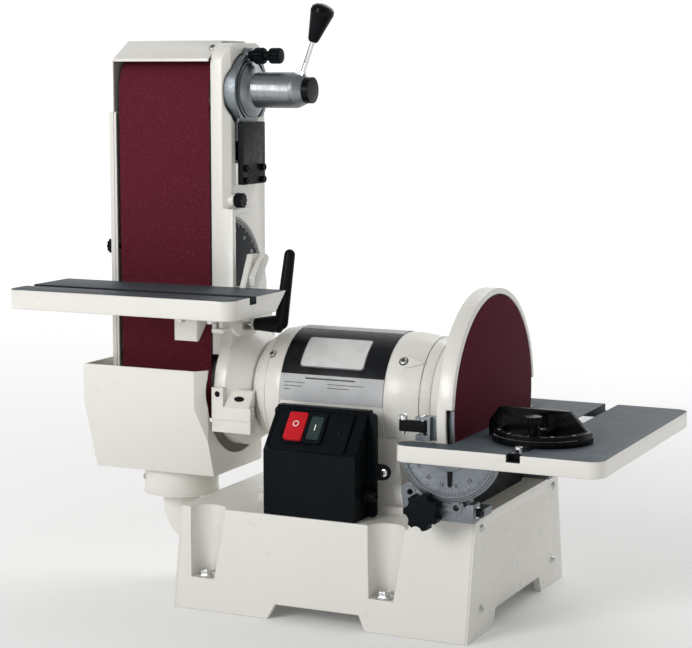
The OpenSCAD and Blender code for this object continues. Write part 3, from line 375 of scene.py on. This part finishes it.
# faces of a CAD node that have another look than the rest: rule(centre in mm, normal) names it
PAINT = {
    "belt_table": table_look(BELT_TABLE_TOP, 1, BELT_TABLE_SLOT_Y),
    "disc_table": table_look(DISC_TABLE_TOP, 0, (GAUGE_X - SLOT_HALF_WIDTH, GAUGE_X + SLOT_HALF_WIDTH)),
    "tension_lever": lever_look,
    "lock_lever": lambda p, n: "chrome" if p.x < -131.2 else None,
    "m8_bolts": bolt_look,
    "tension_bracket": lambda p, n: "polished_cone" if p.x > -159.5 else None,
    "brake_lever": lambda p, n: "chrome" if p.z > 291.2 or p.z < 275.3 else None,
    "mitre_head": lambda p, n: "black_gloss",
    "mitre_knob": lambda p, n: "black_gloss",
    # the bar's front end face, back in the table's slot, drawn dark: painted shade
    "mitre_bar": lambda p, n: "black_and_hole_shade" if n.y < -0.9 and p.y < -185 else None,
}


def paint_faces(obj, rule):
    """Gives single faces their own look; the mesh itself stays as CAD made it."""
    mesh = obj.data
    index = {}
    for face in mesh.polygons:
        look = rule(face.center / MM, face.normal)
        if look is None:
            continue
        if look not in index:
            index[look] = len(mesh.materials)
            mesh.materials.append(LOOKS[look])
        face.material_index = index[look]


def dress_cad_nodes():
    for name, obj in nodes.items():
        obj.data.materials.clear()
        obj.data.materials.append(M[node_slot[name]])
        if name in PAINT:
            paint_faces(obj, PAINT[name])
        width = SOFT_EDGES.get(name, DEFAULT_SOFT_EDGE)
        if width:
            soften(obj, width * MM)


dress_cad_nodes()

# ---------------------------------------------------------------- shapes for added detail


def frame_at(origin, out=(0, 0, 1), right=(1, 0, 0)):
    """A local frame in millimetres: Z along out, X as near to right as it can be.

    Known fault: where out is parallel to right there is no such X, and the shape collapses to a
    line. It happens to the clamp sockets and the screw above them, the drum's end ring, the disc
    plate's edge, the gland rings and the cover screws, which face along X with right left out.
    """
    z = Vector(out).normalized()
    x = Vector(right)
    x = (x - z * x.dot(z)).normalized()
    y = z.cross(x)
    rows = [(x[i], y[i], z[i], origin[i]) for i in range(3)]
    return Matrix((*rows, (0, 0, 0, 1)))


def end_on(x, y=0, z=0):
    """A local frame that looks along +X, with its own X along +Y."""
    return frame_at((x, y, z), (1, 0, 0), (0, 1, 0))


def lathe(bm, at, profile, steps=40):
    """Turns [radius, height] points about local Z; a third value of 6 makes that ring a hexagon."""
    rings = []
    for point in profile:
        radius, height = point[:2]
        if radius < 1e-6:
            rings.append([bm.verts.new(at @ Vector((0, 0, height)))])
            continue
        ring = []
        for i in range(steps):
            turn = 2 * math.pi * i / steps
            reach = radius
            if len(point) > 2:
                sector = 2 * math.pi / point[2]
                reach = radius * math.cos(sector / 2) / math.cos(turn % sector - sector / 2)
            ring.append(bm.verts.new(at @ Vector((reach * math.cos(turn), reach * math.sin(turn), height))))
        rings.append(ring)
    for low, high in zip(rings, rings[1:]):
        for i in range(steps):
            j = (i + 1) % steps
            corners = [low[i % len(low)], low[j % len(low)], high[j % len(high)], high[i % len(high)]]
            corners = list(dict.fromkeys(corners))
            if len(corners) > 2:
                bm.faces.new(corners)


def prism(bm, at, outline, low, high):
    """Pushes an outline along local Z."""
    floor = [bm.verts.new(at @ Vector((x, y, low))) for x, y in outline]
    roof = [bm.verts.new(at @ Vector((x, y, high))) for x, y in outline]
    bm.faces.new(floor[::-1])
    bm.faces.new(roof)
    for i in range(len(outline)):
        j = (i + 1) % len(outline)
        bm.faces.new([floor[i], floor[j], roof[j], roof[i]])


def rounded(x0, y0, x1, y1, radius, steps=6):
    """The outline of a rectangle with round corners."""
    points = []
    for cx, cy, start in ((x1 - radius, y1 - radius, 0), (x0 + radius, y1 - radius, 90),
                          (x0 + radius, y0 + radius, 180), (x1 - radius, y0 + radius, 270)):
        for i in range(steps + 1):
            turn = math.radians(start + 90 * i / steps)
            points.append((cx + radius * math.cos(turn), cy + radius * math.sin(turn)))
    return points


def ellipse(width, height, steps):
    """The outline of an ellipse, from its half width and half height."""
    turns = [2 * math.pi * i / steps for i in range(steps)]
    return [(width * math.cos(t), height * math.sin(t)) for t in turns]


def tick(bm, at, turn, outer, long, half, low, high):
    """One degree mark of a dial, pointing inwards from a radius."""
    c, s = math.cos(turn), math.sin(turn)
    ends = ((outer, -half), (outer, half), (outer - long, half), (outer - long, -half))
    prism(bm, at, [(r * c - w * s, r * s + w * c) for r, w in ends], low, high)


def loop_band(bm, at, outer, inner, low, high):
    """A frame between two outlines with the same number of points."""
    rings = [[bm.verts.new(at @ Vector((x, y, h))) for x, y in line]
             for line, h in ((outer, low), (outer, high), (inner, high), (inner, low))]
    count = len(outer)
    for a, b in zip(rings, rings[1:] + rings[:1]):
        for i in range(count):
            j = (i + 1) % count
            bm.faces.new([a[i], a[j], b[j], b[i]])


def arc_band(bm, at, r0, r1, start, end, low, high, steps=32):
    """Part of a flat ring between two angles in degrees, counted from local X."""
    turns = [math.radians(start + (end - start) * i / steps) for i in range(steps + 1)]
    outline = [(r1 * math.cos(t), r1 * math.sin(t)) for t in turns]
    outline += [(r0 * math.cos(t), r0 * math.sin(t)) for t in reversed(turns)]
    rings = [[bm.verts.new(at @ Vector((x, y, h))) for x, y in outline] for h in (low, high)]
    half = steps + 1
    for i in range(len(outline)):
        j = (i + 1) % len(outline)
        bm.faces.new([rings[0][i], rings[0][j], rings[1][j], rings[1][i]])
    for ring in rings:
        for i in range(steps):
            bm.faces.new([ring[i], ring[i + 1], ring[2 * half - 2 - i], ring[2 * half - 1 - i]])


def wrapped(bm, x0, x1, low, high, r0, r1, corner=0.01, rows=22):
    """A panel bent round the motor, between two angles above the horizon at the front."""
    reach = r1 * math.radians(high - low)
    grid = []
    for i in range(rows + 1):
        along = reach * i / rows
        edge = min(along, reach - along)
        inset = 0.0
        if edge < corner:
            inset = corner - math.sqrt(max(0.0, corner ** 2 - (corner - edge) ** 2))
        turn = math.radians(low) + along / r1
        row = []
        for r in (r0, r1):
            for x in (x0 + inset, x1 - inset):
                row.append(bm.verts.new((x, -r * math.cos(turn), SPINDLE_Z + r * math.sin(turn))))
        grid.append(row)
    for a, b in zip(grid, grid[1:]):
        for p, q in ((0, 1), (1, 3), (3, 2), (2, 0)):
            bm.faces.new([a[p], a[q], b[q], b[p]])
    for row in (grid[0], grid[-1]):
        bm.faces.new([row[0], row[1], row[3], row[2]])


def piece(name, bm, look, body, soft=0.0):
    """A bmesh in millimetres becomes a piece that rides on a CAD body."""
    sharp = math.radians(35.0)
    bmesh.ops.recalc_face_normals(bm, faces=bm.faces[:])
    mesh = bpy.data.meshes.new(name)
    bm.to_mesh(mesh)
    bm.free()
    mesh.transform(Matrix.Scale(MM, 4))
    obj = bpy.data.objects.new(name, mesh)
    bpy.context.scene.collection.objects.link(obj)
    mesh.materials.append(LOOKS[look])
    mesh.shade_smooth()
    mesh.set_sharp_from_angle(angle=sharp)
    if soft:
        bevel = obj.modifiers.new("edges", "BEVEL")
        bevel.width = soft * MM
        bevel.segments = 2
        bevel.limit_method = "ANGLE"
        bevel.angle_limit = sharp
        bevel.harden_normals = True
    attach(obj, body)
    return obj


def make(name, look, body, shape, *args, soft=0.0, **options):
    """One piece from one call of a shape function."""
    bm = bmesh.new()
    shape(bm, *args, **options)
    return piece(name, bm, look, body, soft)


def socket_head(bm, at, radius, height):
    lathe(bm, at, [(radius, 0), (radius, height * 0.86), (radius * 0.9, height), (radius * 0.56, height, 6),
                   (radius * 0.56, height * 0.35, 6), (0, height * 0.35)], 36)


def hex_head(bm, at, radius, height, washer):
    lathe(bm, at, [(washer, 0), (washer, 1.4), (washer * 0.5, 1.4)], 36)
    lathe(bm, at, [(radius, 1.3, 6), (radius, height, 6), (radius * 0.86, height + 0.8),
                   (0, height + 0.9)], 36)


def pan_head(name, at, radius, height, body, look="black_metal", mark="black_and_hole_shade"):
    """Domed screw head, with the shade of the cross cut in it and of the gap round it painted on as dark
    pieces.
    """
    # mark is the look of the dark pieces that paint the shade of the gap and the cross cut
    make(name + "_gap_shade", mark, body, lathe, at,
         [(radius * 0.9, 0.0), (radius * 1.22, 0.0), (radius * 1.22, 0.25), (radius * 0.9, 0.3)], 32)
    make(name, look, body, lathe, at, [(radius, 0), (radius, height * 0.35), (radius * 0.86, height * 0.72),
                                       (radius * 0.5, height * 0.96), (0, height)], 32)
    bm = bmesh.new()
    long, thin = radius * 0.6, radius * 0.15
    for a, b in ((long, thin), (thin, long)):
        prism(bm, at, [(-a, -b), (a, -b), (a, b), (-a, b)], height * 0.5, height * 1.02)
    piece(name + "_cross", bm, mark, body)


def numeral(name, text, at, height, look, body, depth=0.25):
    """A plain number standing just proud of a dial."""
    data = bpy.data.curves.new(name, "FONT")
    data.body = text
    data.size = height * MM
    data.align_x, data.align_y = "CENTER", "CENTER"
    data.extrude = depth * MM
    data.resolution_u = 3
    obj = bpy.data.objects.new(name, data)
    bpy.context.scene.collection.objects.link(obj)
    data.materials.append(LOOKS[look])
    obj.matrix_world = Matrix.Translation(at.translation * MM) @ at.to_quaternion().to_matrix().to_4x4()
    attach(obj, body)


# ---------------------------------------------------------------- motor


def dress_motor():
    make("label_band", "silver_print", "machine_body", wrapped, *LABEL_X, -1.0, 22.4,
         LABEL_INSIDE, LABEL_OUTSIDE)
    # plain bars where the band carries its small print
    for i, (x0, x1, turn, height) in enumerate((
            (-30, 48, 18.4, 1.5), (-62, -30, 14.6, 0.6), (6, 62, 14.6, 0.6), (-62, -34, 11.4, 0.6),
            (6, 40, 11.4, 0.6), (-62, -52, 8.4, 0.6))):
        make(f"label_bar_{i}", "dark_print", "machine_body", wrapped, x0, x1, turn, turn + height,
             LABEL_INSIDE + 0.1, LABEL_OUTSIDE + 0.06)
    make("label_top_strip", "silver_print", "machine_body", wrapped, *LABEL_X, 79.6, 99.0,
         LABEL_INSIDE, LABEL_OUTSIDE)
    make("label_plate_rim", "dark_silver", "machine_body", wrapped, -42.5, 58.5, 29.0, 62.8,
         LABEL_INSIDE, LABEL_OUTSIDE + 0.35, 5.5, 44)
    make("label_plate", "silver_plate", "machine_body", wrapped, -40.8, 56.8, 30.1, 61.7,
         LABEL_INSIDE, LABEL_OUTSIDE + 0.7, 4.2, 44)
    # left end bell: stepped rings and two screws
    axis = frame_at((0, 0, SPINDLE_Z), (-1, 0, 0), (0, -1, 0))
    for i, (x, r) in enumerate(((-70.0, 93.6), (-96.6, 88.8), (-118.6, 73.2))):
        make(f"bell_step_{i}", "cream_casting", "machine_body", lathe, axis,
             [(r - 1.6, -x - 1.2), (r, -x - 0.9), (r, -x + 0.9), (r - 1.6, -x + 1.6)], 128)
    for i, turn in enumerate((41.0, 139.0)):
        c, s = math.cos(math.radians(turn)), math.sin(math.radians(turn))
        at = frame_at((-92.6, -89.0 * c, SPINDLE_Z + 89.0 * s), (-0.35, -c, s))
        pan_head(f"bell_screw_left_{i}", at, 5.2, 3.2, "machine_body", "zinc_steel")
        # right end bell: a raised boss with its screw, shaped like a drop
        at = frame_at((115.0, -92.4 * c, SPINDLE_Z + 92.4 * s), (0, -c, s))
        turns = [math.radians(a) for a in range(60, 301, 12)]
        drop = [(11.5 * math.cos(a), 11.5 * math.sin(a)) for a in turns] + [(32.0, 0.0)]
        make(f"bell_boss_{i}", "cream_casting", "machine_body", prism, at, drop, -5.0, 1.6, soft=1.2)
        at = at @ Matrix.Translation((0, 0, 1.6))
        pan_head(f"bell_screw_right_{i}", at, 5.6, 3.0, "machine_body", "zinc_steel")
    make("bell_seam", "cream_shadow", "machine_body", lathe, axis,
         [(88.5, -144.2), (88.95, -144.4), (88.95, -145.6), (88.5, -145.8)], 128)


# ---------------------------------------------------------------- switch


def dress_switch():
    slope = math.atan2(57.0, 46.0)
    at = frame_at((0, -171, 235), (0, -math.sin(slope), math.cos(slope)))
    face = 3.4
    make("panel_rim", "black_plastic", "machine_body", loop_band, at, rounded(-50, 1.5, 69, 67.5, 5),
         rounded(-47.6, 3.9, 66.6, 65.1, 3.4), face, 5.0, soft=0.6)
    make("on_bezel", "black_plastic", "machine_body", loop_band, at, rounded(1.7, 12.6, 31.6, 61.4, 5),
         rounded(6.4, 18.4, 26.1, 55.6, 3), face, 7.8, soft=1.2)
    make("off_bezel", "black_plastic", "machine_body", loop_band, at, rounded(-30.5, 11.5, -0.2, 62.5, 5),
         rounded(-27.0, 15.0, 1.9, 59.0, 3), face, 5.2, soft=0.8)
    ring = ellipse(4.6, 4.6, 24)
    hole = [(x * 0.72, y * 0.72) for x, y in ring]
    off = at @ Matrix.Translation((-12.5, 40.0, 10.0))
    make("off_mark", "white_print", "off_push", loop_band, off, ring, hole, 0.0, 0.25)
    on = at @ Matrix.Translation((16.25, 38.0, 6.0))
    make("on_mark", "white_print", "on_push", prism, on, [(-0.8, -4.6), (0.8, -4.6), (0.8, 4.6), (-0.8, 4.6)],
         0.0, 0.25)
    pan_head("panel_screw", at @ Matrix.Translation((54, 35, face)), 5.0, 2.6, "machine_body", "black_metal")
    pan_head("switch_lug_screw", frame_at((110, -127, 208), (0, -1, 0)), 6.2, 3.6, "machine_body", "chrome")
    gland = frame_at((86, -140, 176), (1, 0, 0))
    for i in range(3):
        make(f"gland_ring_{i}", "black_plastic", "machine_body", lathe, gland,
             [(6.4, 7.0 + i * 3.4), (8.0, 7.4 + i * 3.4), (8.0, 9.0 + i * 3.4), (6.4, 9.4 + i * 3.4)])


# ---------------------------------------------------------------- belt unit


def fluted_knob(bm, at, profile, flutes, depth, steps=112):
    """Turns a knob whose widest rings dip in at every flute."""
    widest = max(radius for radius, _ in profile)
    rings = []
    for radius, height in profile:
        ring = []
        for i in range(steps):
            turn = 2 * math.pi * i / steps
            dip = depth * max(0.0, math.cos(turn * flutes)) ** 2 if radius > widest * 0.8 else 0.0
            reach = radius - dip
            ring.append(bm.verts.new(at @ Vector((reach * math.cos(turn), reach * math.sin(turn), height))))
        rings.append(ring)
    for low, high in zip(rings, rings[1:]):
        for i in range(steps):
            j = (i + 1) % steps
            bm.faces.new([low[i], low[j], high[j], high[i]])
    for ring in (rings[0], rings[-1]):
        bm.faces.new(ring)


def dress_tracking_knobs():
    """The two knobs on the tracking screw, with the necks that CAD's plain ones leave out."""
    at = end_on(0, 0, TRACKING_SCREW_Z)
    lock = make("tracking_lock_look", "black_plastic", "tracking_lock", fluted_knob, at,
                [(4.2, -159.7), (8.0, -159.7), (8.0, -154.6), (10.0, -154.0), (12.0, -151.5), (12.0, -140.0),
                 (10.6, -137.6), (7.0, -136.8), (7.0, -133.6), (4.2, -133.6)], 14, 1.6)
    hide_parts("tracking_lock_knob")
    knob = make("tracking_knob_look", "black_plastic", "tracking_screw", fluted_knob, at,
                [(3.5, -169.5), (3.5, -133.2), (6.6, -133.2), (6.6, -129.6), (10.0, -128.8), (11.5, -126.6),
                 (11.5, -113.0), (10.2, -110.8), (6.0, -110.1), (1.0, -110.0)], 14, 1.5)
    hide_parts("tracking_knob")


def dress_clamps():
    # socket screws of the clamp plate
    for i, (y, z) in enumerate(((3.6, 680.4), (19.3, 664.4))):
        make(f"clamp_socket_{i}", "black_and_hole_shade", "arm", lathe, frame_at((CLAMP_PLATE_X, y, z), (1, 0, 0)),
             [(5.6, -0.2), (5.6, 1.1), (5.0, 1.6), (3.2, 1.6, 6), (3.2, 0.1, 6), (0, 0.1)], 36)
    make("clamp_screw_top", "black_gloss", "arm", socket_head,
         frame_at((CLAMP_PLATE_X, 26.5, 677.0), (1, 0, 0)), 5.6, 6.0)
    # the hub clamp's lugs: a ramp with its oval recess on each, and the hole of the front ear; recess and
    # hole are dark pieces, painted shade
    for side in (-1, 1):
        at = end_on(-158.8)
        ramp = [(side * 96.8, 275.0), (side * 76, 275.0), (side * 76, 300.0), (side * 80, 299.0)]
        make(f"clamp_ramp_{side + 1}", "cream_casting", "arm", prism, at, ramp[::-side], 0.0, 42.0, soft=2.0)
        slope = frame_at((-137.0, side * 88.6, 287.2), (0, side * 0.81, 0.586), (1, 0, 0))
        make(f"clamp_recess_shade_{side + 1}", "black_and_hole_shade", "arm", prism, slope, ellipse(8.0, 4.2, 32), -1.0, 0.5)
    ear = frame_at((-168, -97.0, 294), (0, -1, 0))
    make("ear_boss", "cream_casting", "arm", lathe, ear,
         [(4.4, -0.5), (4.4, 0.9), (7.4, 0.9), (8.2, 0.2), (8.2, -0.5)])
    make("ear_hole_shade", "black_and_hole_shade", "arm", lathe, ear, [(4.4, -0.6), (4.4, 0.4), (0, 0.4)])


def dress_covers():
    # end wall of the top cover, and the bright end of the drum behind it
    wall = [(-61, 699), (71, 699), (71, 776), (60, 793), (45, 802), (-18, 802), (-61, 775)]
    make("top_cover_wall", "cream_shadow", "arm", prism, end_on(-359.6), wall, 0.0, 1.6)
    make("drum_end_ring", "chrome", "idler", lathe, frame_at((-352.2, 0, IDLER_Z), (-1, 0, 0)),
         [(48.5, -0.8), (48.5, 0.9), (54.6, 0.9), (54.8, -0.8)], 96)
    # round slotted screw on the top cover's slope
    at = frame_at((-204, -36, 792.6), (0, -0.522, 0.853))
    pan_head("top_cover_screw", at, 6.0, 3.4, "arm", "zinc_steel")
    # lap of the side cover: a shadow line at its edge, then a flange that stands proud
    (front, back), (foot, head) = SIDE_COVER_Y, SIDE_COVER_Z
    inner = [(y * 0.98, z) for y, z in ((front, foot), (back, foot), (back, head - 2), (front, head - 2))]
    strips = ((0.0, 0.9, "cream_shadow", 0.12), (4.2, 0.8, "cream_sheet", 0.9))
    for i, (x, wide, look, grow) in enumerate(strips):
        y0, y1, z1 = front - grow, back + grow, head + grow
        outer = [(y0, foot), (y1, foot), (y1, z1), (y0, z1)]
        make(f"side_cover_line_{i}", look, "arm", loop_band, end_on(-362.0), outer, inner, x, x + wide)


def dress_belt_table():
    # angle scale: a rim line and degree marks in white
    at = end_on(-168.5, -57, 445)
    make("scale_rim", "silver_print", "arm", arc_band, at, 101.5, 103.5, 6, 82, 0.0, 0.3, steps=40)
    bm = bmesh.new()
    for i in range(46):
        turn = math.radians(12 + i * 1.5)
        long = 9.0 if i % 10 == 0 else (6.5 if i % 5 == 0 else 4.0)
        tick(bm, at, turn, 100.5, long, 0.28, 0.0, 0.25)
    piece("scale_marks", bm, "white_print", "arm")
    for i, value in enumerate(("45", "30", "15", "0")):
        turn = math.radians(14 + i * 21)
        spot = at @ Matrix.Translation((84 * math.cos(turn), 84 * math.sin(turn), 0.1))
        numeral(f"scale_number_{value}", value, spot, 7.0, "white_print", "arm")
    # pointer for the scale on the table's rib
    make("scale_pointer", "zinc_steel", "belt_table_unit", prism, end_on(-136.9, -44, 470),
         [(-3, -5), (3, -5), (1.2, 12), (-0.4, 12)], 0.0, 1.0)
    # hexagon stud of the locking lever
    lever = end_on(-131.5, -44.85, 392.4)
    make("lock_stud_collar", "chrome", "belt_table_lock", lathe, lever,
         [(9.5, -5.0), (9.5, -1.0), (8.2, 0.2, 6), (8.2, 3.4, 6), (0, 3.4)])


# ---------------------------------------------------------------- disc unit


def half_disc_marks(side):
    """Double rim lines, degree marks, numbers and pointer slot on a trunnion's outer face; the slot is a dark
    piece, painted shade.
    """
    tag = "front" if side < 0 else "rear"
    at = frame_at((TRUNNION_X, side * TRUNNION_FACE_Y, DISC_TABLE_TOP), (0, side, 0), (-side, 0, 0))
    for i, (r0, r1) in enumerate(((66.2, 67.0), (69.2, 70.0))):
        make(f"dial_line_{tag}_{i}", "dark_print", "disc_table_unit", arc_band, at, r0, r1, 200, 340,
             0.7, 1.0)
    bm = bmesh.new()
    for i in range(45):
        turn = math.radians(204 + i * 3)
        tick(bm, at, turn, 63.0, 5.4 if i % 5 == 2 else 3.0, 0.3, -1.3, -0.95)
    piece(f"dial_marks_{tag}", bm, "dark_print", "disc_table_unit")
    for i, value in enumerate(("45", "30", "15", "0", "15")):
        turn = math.radians(210 + i * 24)
        spot = at @ Matrix.Translation((50 * math.cos(turn), 50 * math.sin(turn), -1.15)) @ \
            Matrix.Rotation(turn + math.pi / 2, 4, "Z")
        numeral(f"dial_number_{tag}_{i}", value, spot, 7.5, "dark_print", "disc_table_unit")
    # the pointer slot: a dark piece standing on the face, painted shade of the slot
    slot = [(-3.4, 5), (-2.6, -15), (0, -17.5), (2.6, -15), (3.4, 5), (0, 6.5)]
    make(f"dial_slot_shade_{tag}", "black_and_hole_shade", "disc_table_unit", prism, at @ Matrix.Translation((1.5, -34, 0)),
         slot, -0.6, 0.7)


def dress_disc_unit():
    for side in (-1, 1):
        half_disc_marks(side)
        tag = "front" if side < 0 else "rear"
        for i, (x, z) in enumerate(((181.5, 203), (247.5, 187))):
            spot = frame_at((x, side * 202, z), (0, side, 0))
            make(f"lug_ring_{tag}_{i}", "trunnion_iron", "machine_body", lathe, spot,
                 [(4.6, -1.0), (4.6, 0.9), (8.6, 0.9), (9.0, 0.3), (9.0, -1.0)])
    # disc brake: silver domed screw on the finger end, pin below
    make("brake_dome", "chrome", "brake", lathe, frame_at((152, -156, 295.5)),
         [(6.4, 0), (6.4, 0.8), (5.2, 2.6), (2.8, 3.8), (0, 4.1)])
    make("brake_pin_cap", "chrome", "brake", lathe, frame_at((180, -156, 297)),
         [(4.2, -0.4), (4.2, 1.4), (3, 2.2), (0, 2.3)])
    # bright edge of the turned plate behind the abrasive
    axis = frame_at((0, 0, SPINDLE_Z), (1, 0, 0))
    make("disc_plate_edge", "silver_print", "spindle", lathe, axis,
         [(151.9, 217.2), (152.6, 217.6), (152.6, 223.9), (152.0, 224.3)], 180)


def dress_gauge():
    head = frame_at((GAUGE_X, GAUGE_PIVOT_Y, 274.3))
    bm = bmesh.new()
    for i in range(61):
        turn = math.radians(210 + i * 2)
        long = 6.0 if i % 15 == 0 else (4.4 if i % 5 == 0 else 2.6)
        tick(bm, head, turn, 68.6, long, 0.24, 0.0, 0.16)
    piece("gauge_marks", bm, "white_print", "gauge_head")
    for i, value in enumerate(("60", "30", "0", "30", "60")):
        turn = math.radians(210 + i * 30)
        spot = head @ Matrix.Translation((61.0 * math.cos(turn), 61.0 * math.sin(turn), 6.0)) @ \
            Matrix.Rotation(turn + math.pi / 2, 4, "Z")
        numeral(f"gauge_number_{i}", value, spot, 5.0, "white_print", "gauge_head", 0.1)
    make("gauge_pointer_head", "chrome", "gauge_bar", lathe, frame_at((GAUGE_X, -183, 270.3)),
         [(5.6, -0.6), (5.6, 2.4), (4.8, 3.2), (2.4, 3.2, 6), (2.4, 1.2, 6), (0, 1.2)])
    make("gauge_pivot_cap", "chrome", "gauge_head", lathe, frame_at((GAUGE_X, GAUGE_PIVOT_Y, 280.3)),
         [(6.6, 0), (6.6, 0.7), (5.4, 1.5), (0, 1.9)])


def dress_base():
    # hexagon heads over washers in the corner pockets
    spots = [(x, y) for y in (-BENCH_BOLT_Y, BENCH_BOLT_Y) for x in BENCH_BOLT_X]
    for i, (x, y) in enumerate(spots):
        make(f"bench_head_{i}", "chrome", "machine_body", hex_head, frame_at((x, y, 47.3)), 9.6, 7.4, 12.6)
    # screws of the left and right side covers, and of the dust collar
    for i, (x, side, z) in enumerate(((-187.5, -1, 38), (-187.5, -1, 126), (262.5, 1, 38), (262.5, 1, 150))):
        for j, y in enumerate((-147, 147)):
            at = frame_at((x, y, z), (side, 0, 0))
            pan_head(f"cover_screw_{i}_{j}", at, 5.7, 3.4, "machine_body", "silver_print")
    pan_head("collar_screw", frame_at((-318.5, -51.0, 150.0), (-0.76, -0.65, 0)), 4.6, 3.0, "machine_body",
             "zinc_steel")
    collar = frame_at((-276.5, -15, 0))
    make("collar_lip", "cream_sheet", "machine_body", lathe, collar,
         [(55.6, 126.2), (56.9, 126.4), (57.2, 127.6), (56.9, 128.8), (55.6, 129.0)], 96)
    make("elbow_lip", "cream_sheet", "machine_body", lathe, collar,
         [(28.3, 121.5), (31.5, 121.8), (31.5, 125.9), (28.3, 126.1)], 72)


dress_motor()
dress_switch()
dress_tracking_knobs()
dress_clamps()
dress_covers()
dress_belt_table()
dress_disc_unit()
dress_gauge()
dress_base()

# ---------------------------------------------------------------- stage


def make_stage():
    half = 60.0
    floor_mesh = bpy.data.meshes.new("floor")
    floor_mesh.from_pydata([(-half, -half, 0), (half, -half, 0), (half, half, 0), (-half, half, 0)],
                           [], [(0, 1, 2, 3)])
    floor = bpy.data.objects.new("floor", floor_mesh)
    bpy.context.scene.collection.objects.link(floor)
    s = Shader("floor", (0.93, 0.93, 0.925), 0.9, spec=0.1)
    s.tint(s.ramp(s.noise(3.0, 3.0), 0.0, 0.2, (0.4, 0.7)), (0.90, 0.90, 0.895))
    # the floor glows a little more with distance, so that it meets the backdrop
    reach = s.add("ShaderNodeVectorMath", operation="LENGTH")
    s.link(s.place, reach.inputs[0])
    s.surface.inputs["Emission Color"].default_value = (1.0, 1.0, 1.0, 1.0)
    s.link(s.ramp(reach.outputs["Value"], 0.06, 0.55, (0.6, 4.5)), s.surface.inputs["Emission Strength"])
    floor.data.materials.append(s.material)


def area_light(name, at, aim, size, power):
    data = bpy.data.lights.new(name, "AREA")
    data.shape = "RECTANGLE"
    data.size, data.size_y = size
    data.energy = power
    light = bpy.data.objects.new(name, data)
    bpy.context.scene.collection.objects.link(light)
    light.location = at
    light.rotation_mode = "QUATERNION"
    light.rotation_quaternion = (Vector(aim) - Vector(at)).to_track_quat("-Z", "Y")


def make_lights():
    world = bpy.data.worlds.new("studio")
    world.use_nodes = True
    tree = world.node_tree
    background = tree.nodes["Background"]
    background.inputs["Color"].default_value = (1.0, 1.0, 1.0, 1.0)
    # a white backdrop behind the machine, and a dimmer room all round it
    room, backdrop = 0.42, 1.05
    where = tree.nodes.new("ShaderNodeTexCoord")
    split = tree.nodes.new("ShaderNodeSeparateXYZ")
    level = tree.nodes.new("ShaderNodeMapRange")
    level.interpolation_type = "SMOOTHSTEP"
    for socket, value in (("From Min", 0.1), ("From Max", 0.75), ("To Min", room), ("To Max", backdrop)):
        level.inputs[socket].default_value = value
    tree.links.new(where.outputs["Generated"], split.inputs["Vector"])
    tree.links.new(split.outputs["Y"], level.inputs["Value"])
    tree.links.new(level.outputs["Result"], background.inputs["Strength"])
    bpy.context.scene.world = world
    area_light("key", (-1.3, -3.2, 1.7), (0, 0, 0.4), (1.4, 1.4), 60.0)
    area_light("back", (0.3, 2.4, 2.4), (0, 0, 0.5), (2.0, 1.2), 16.0)


make_stage()
make_lights()
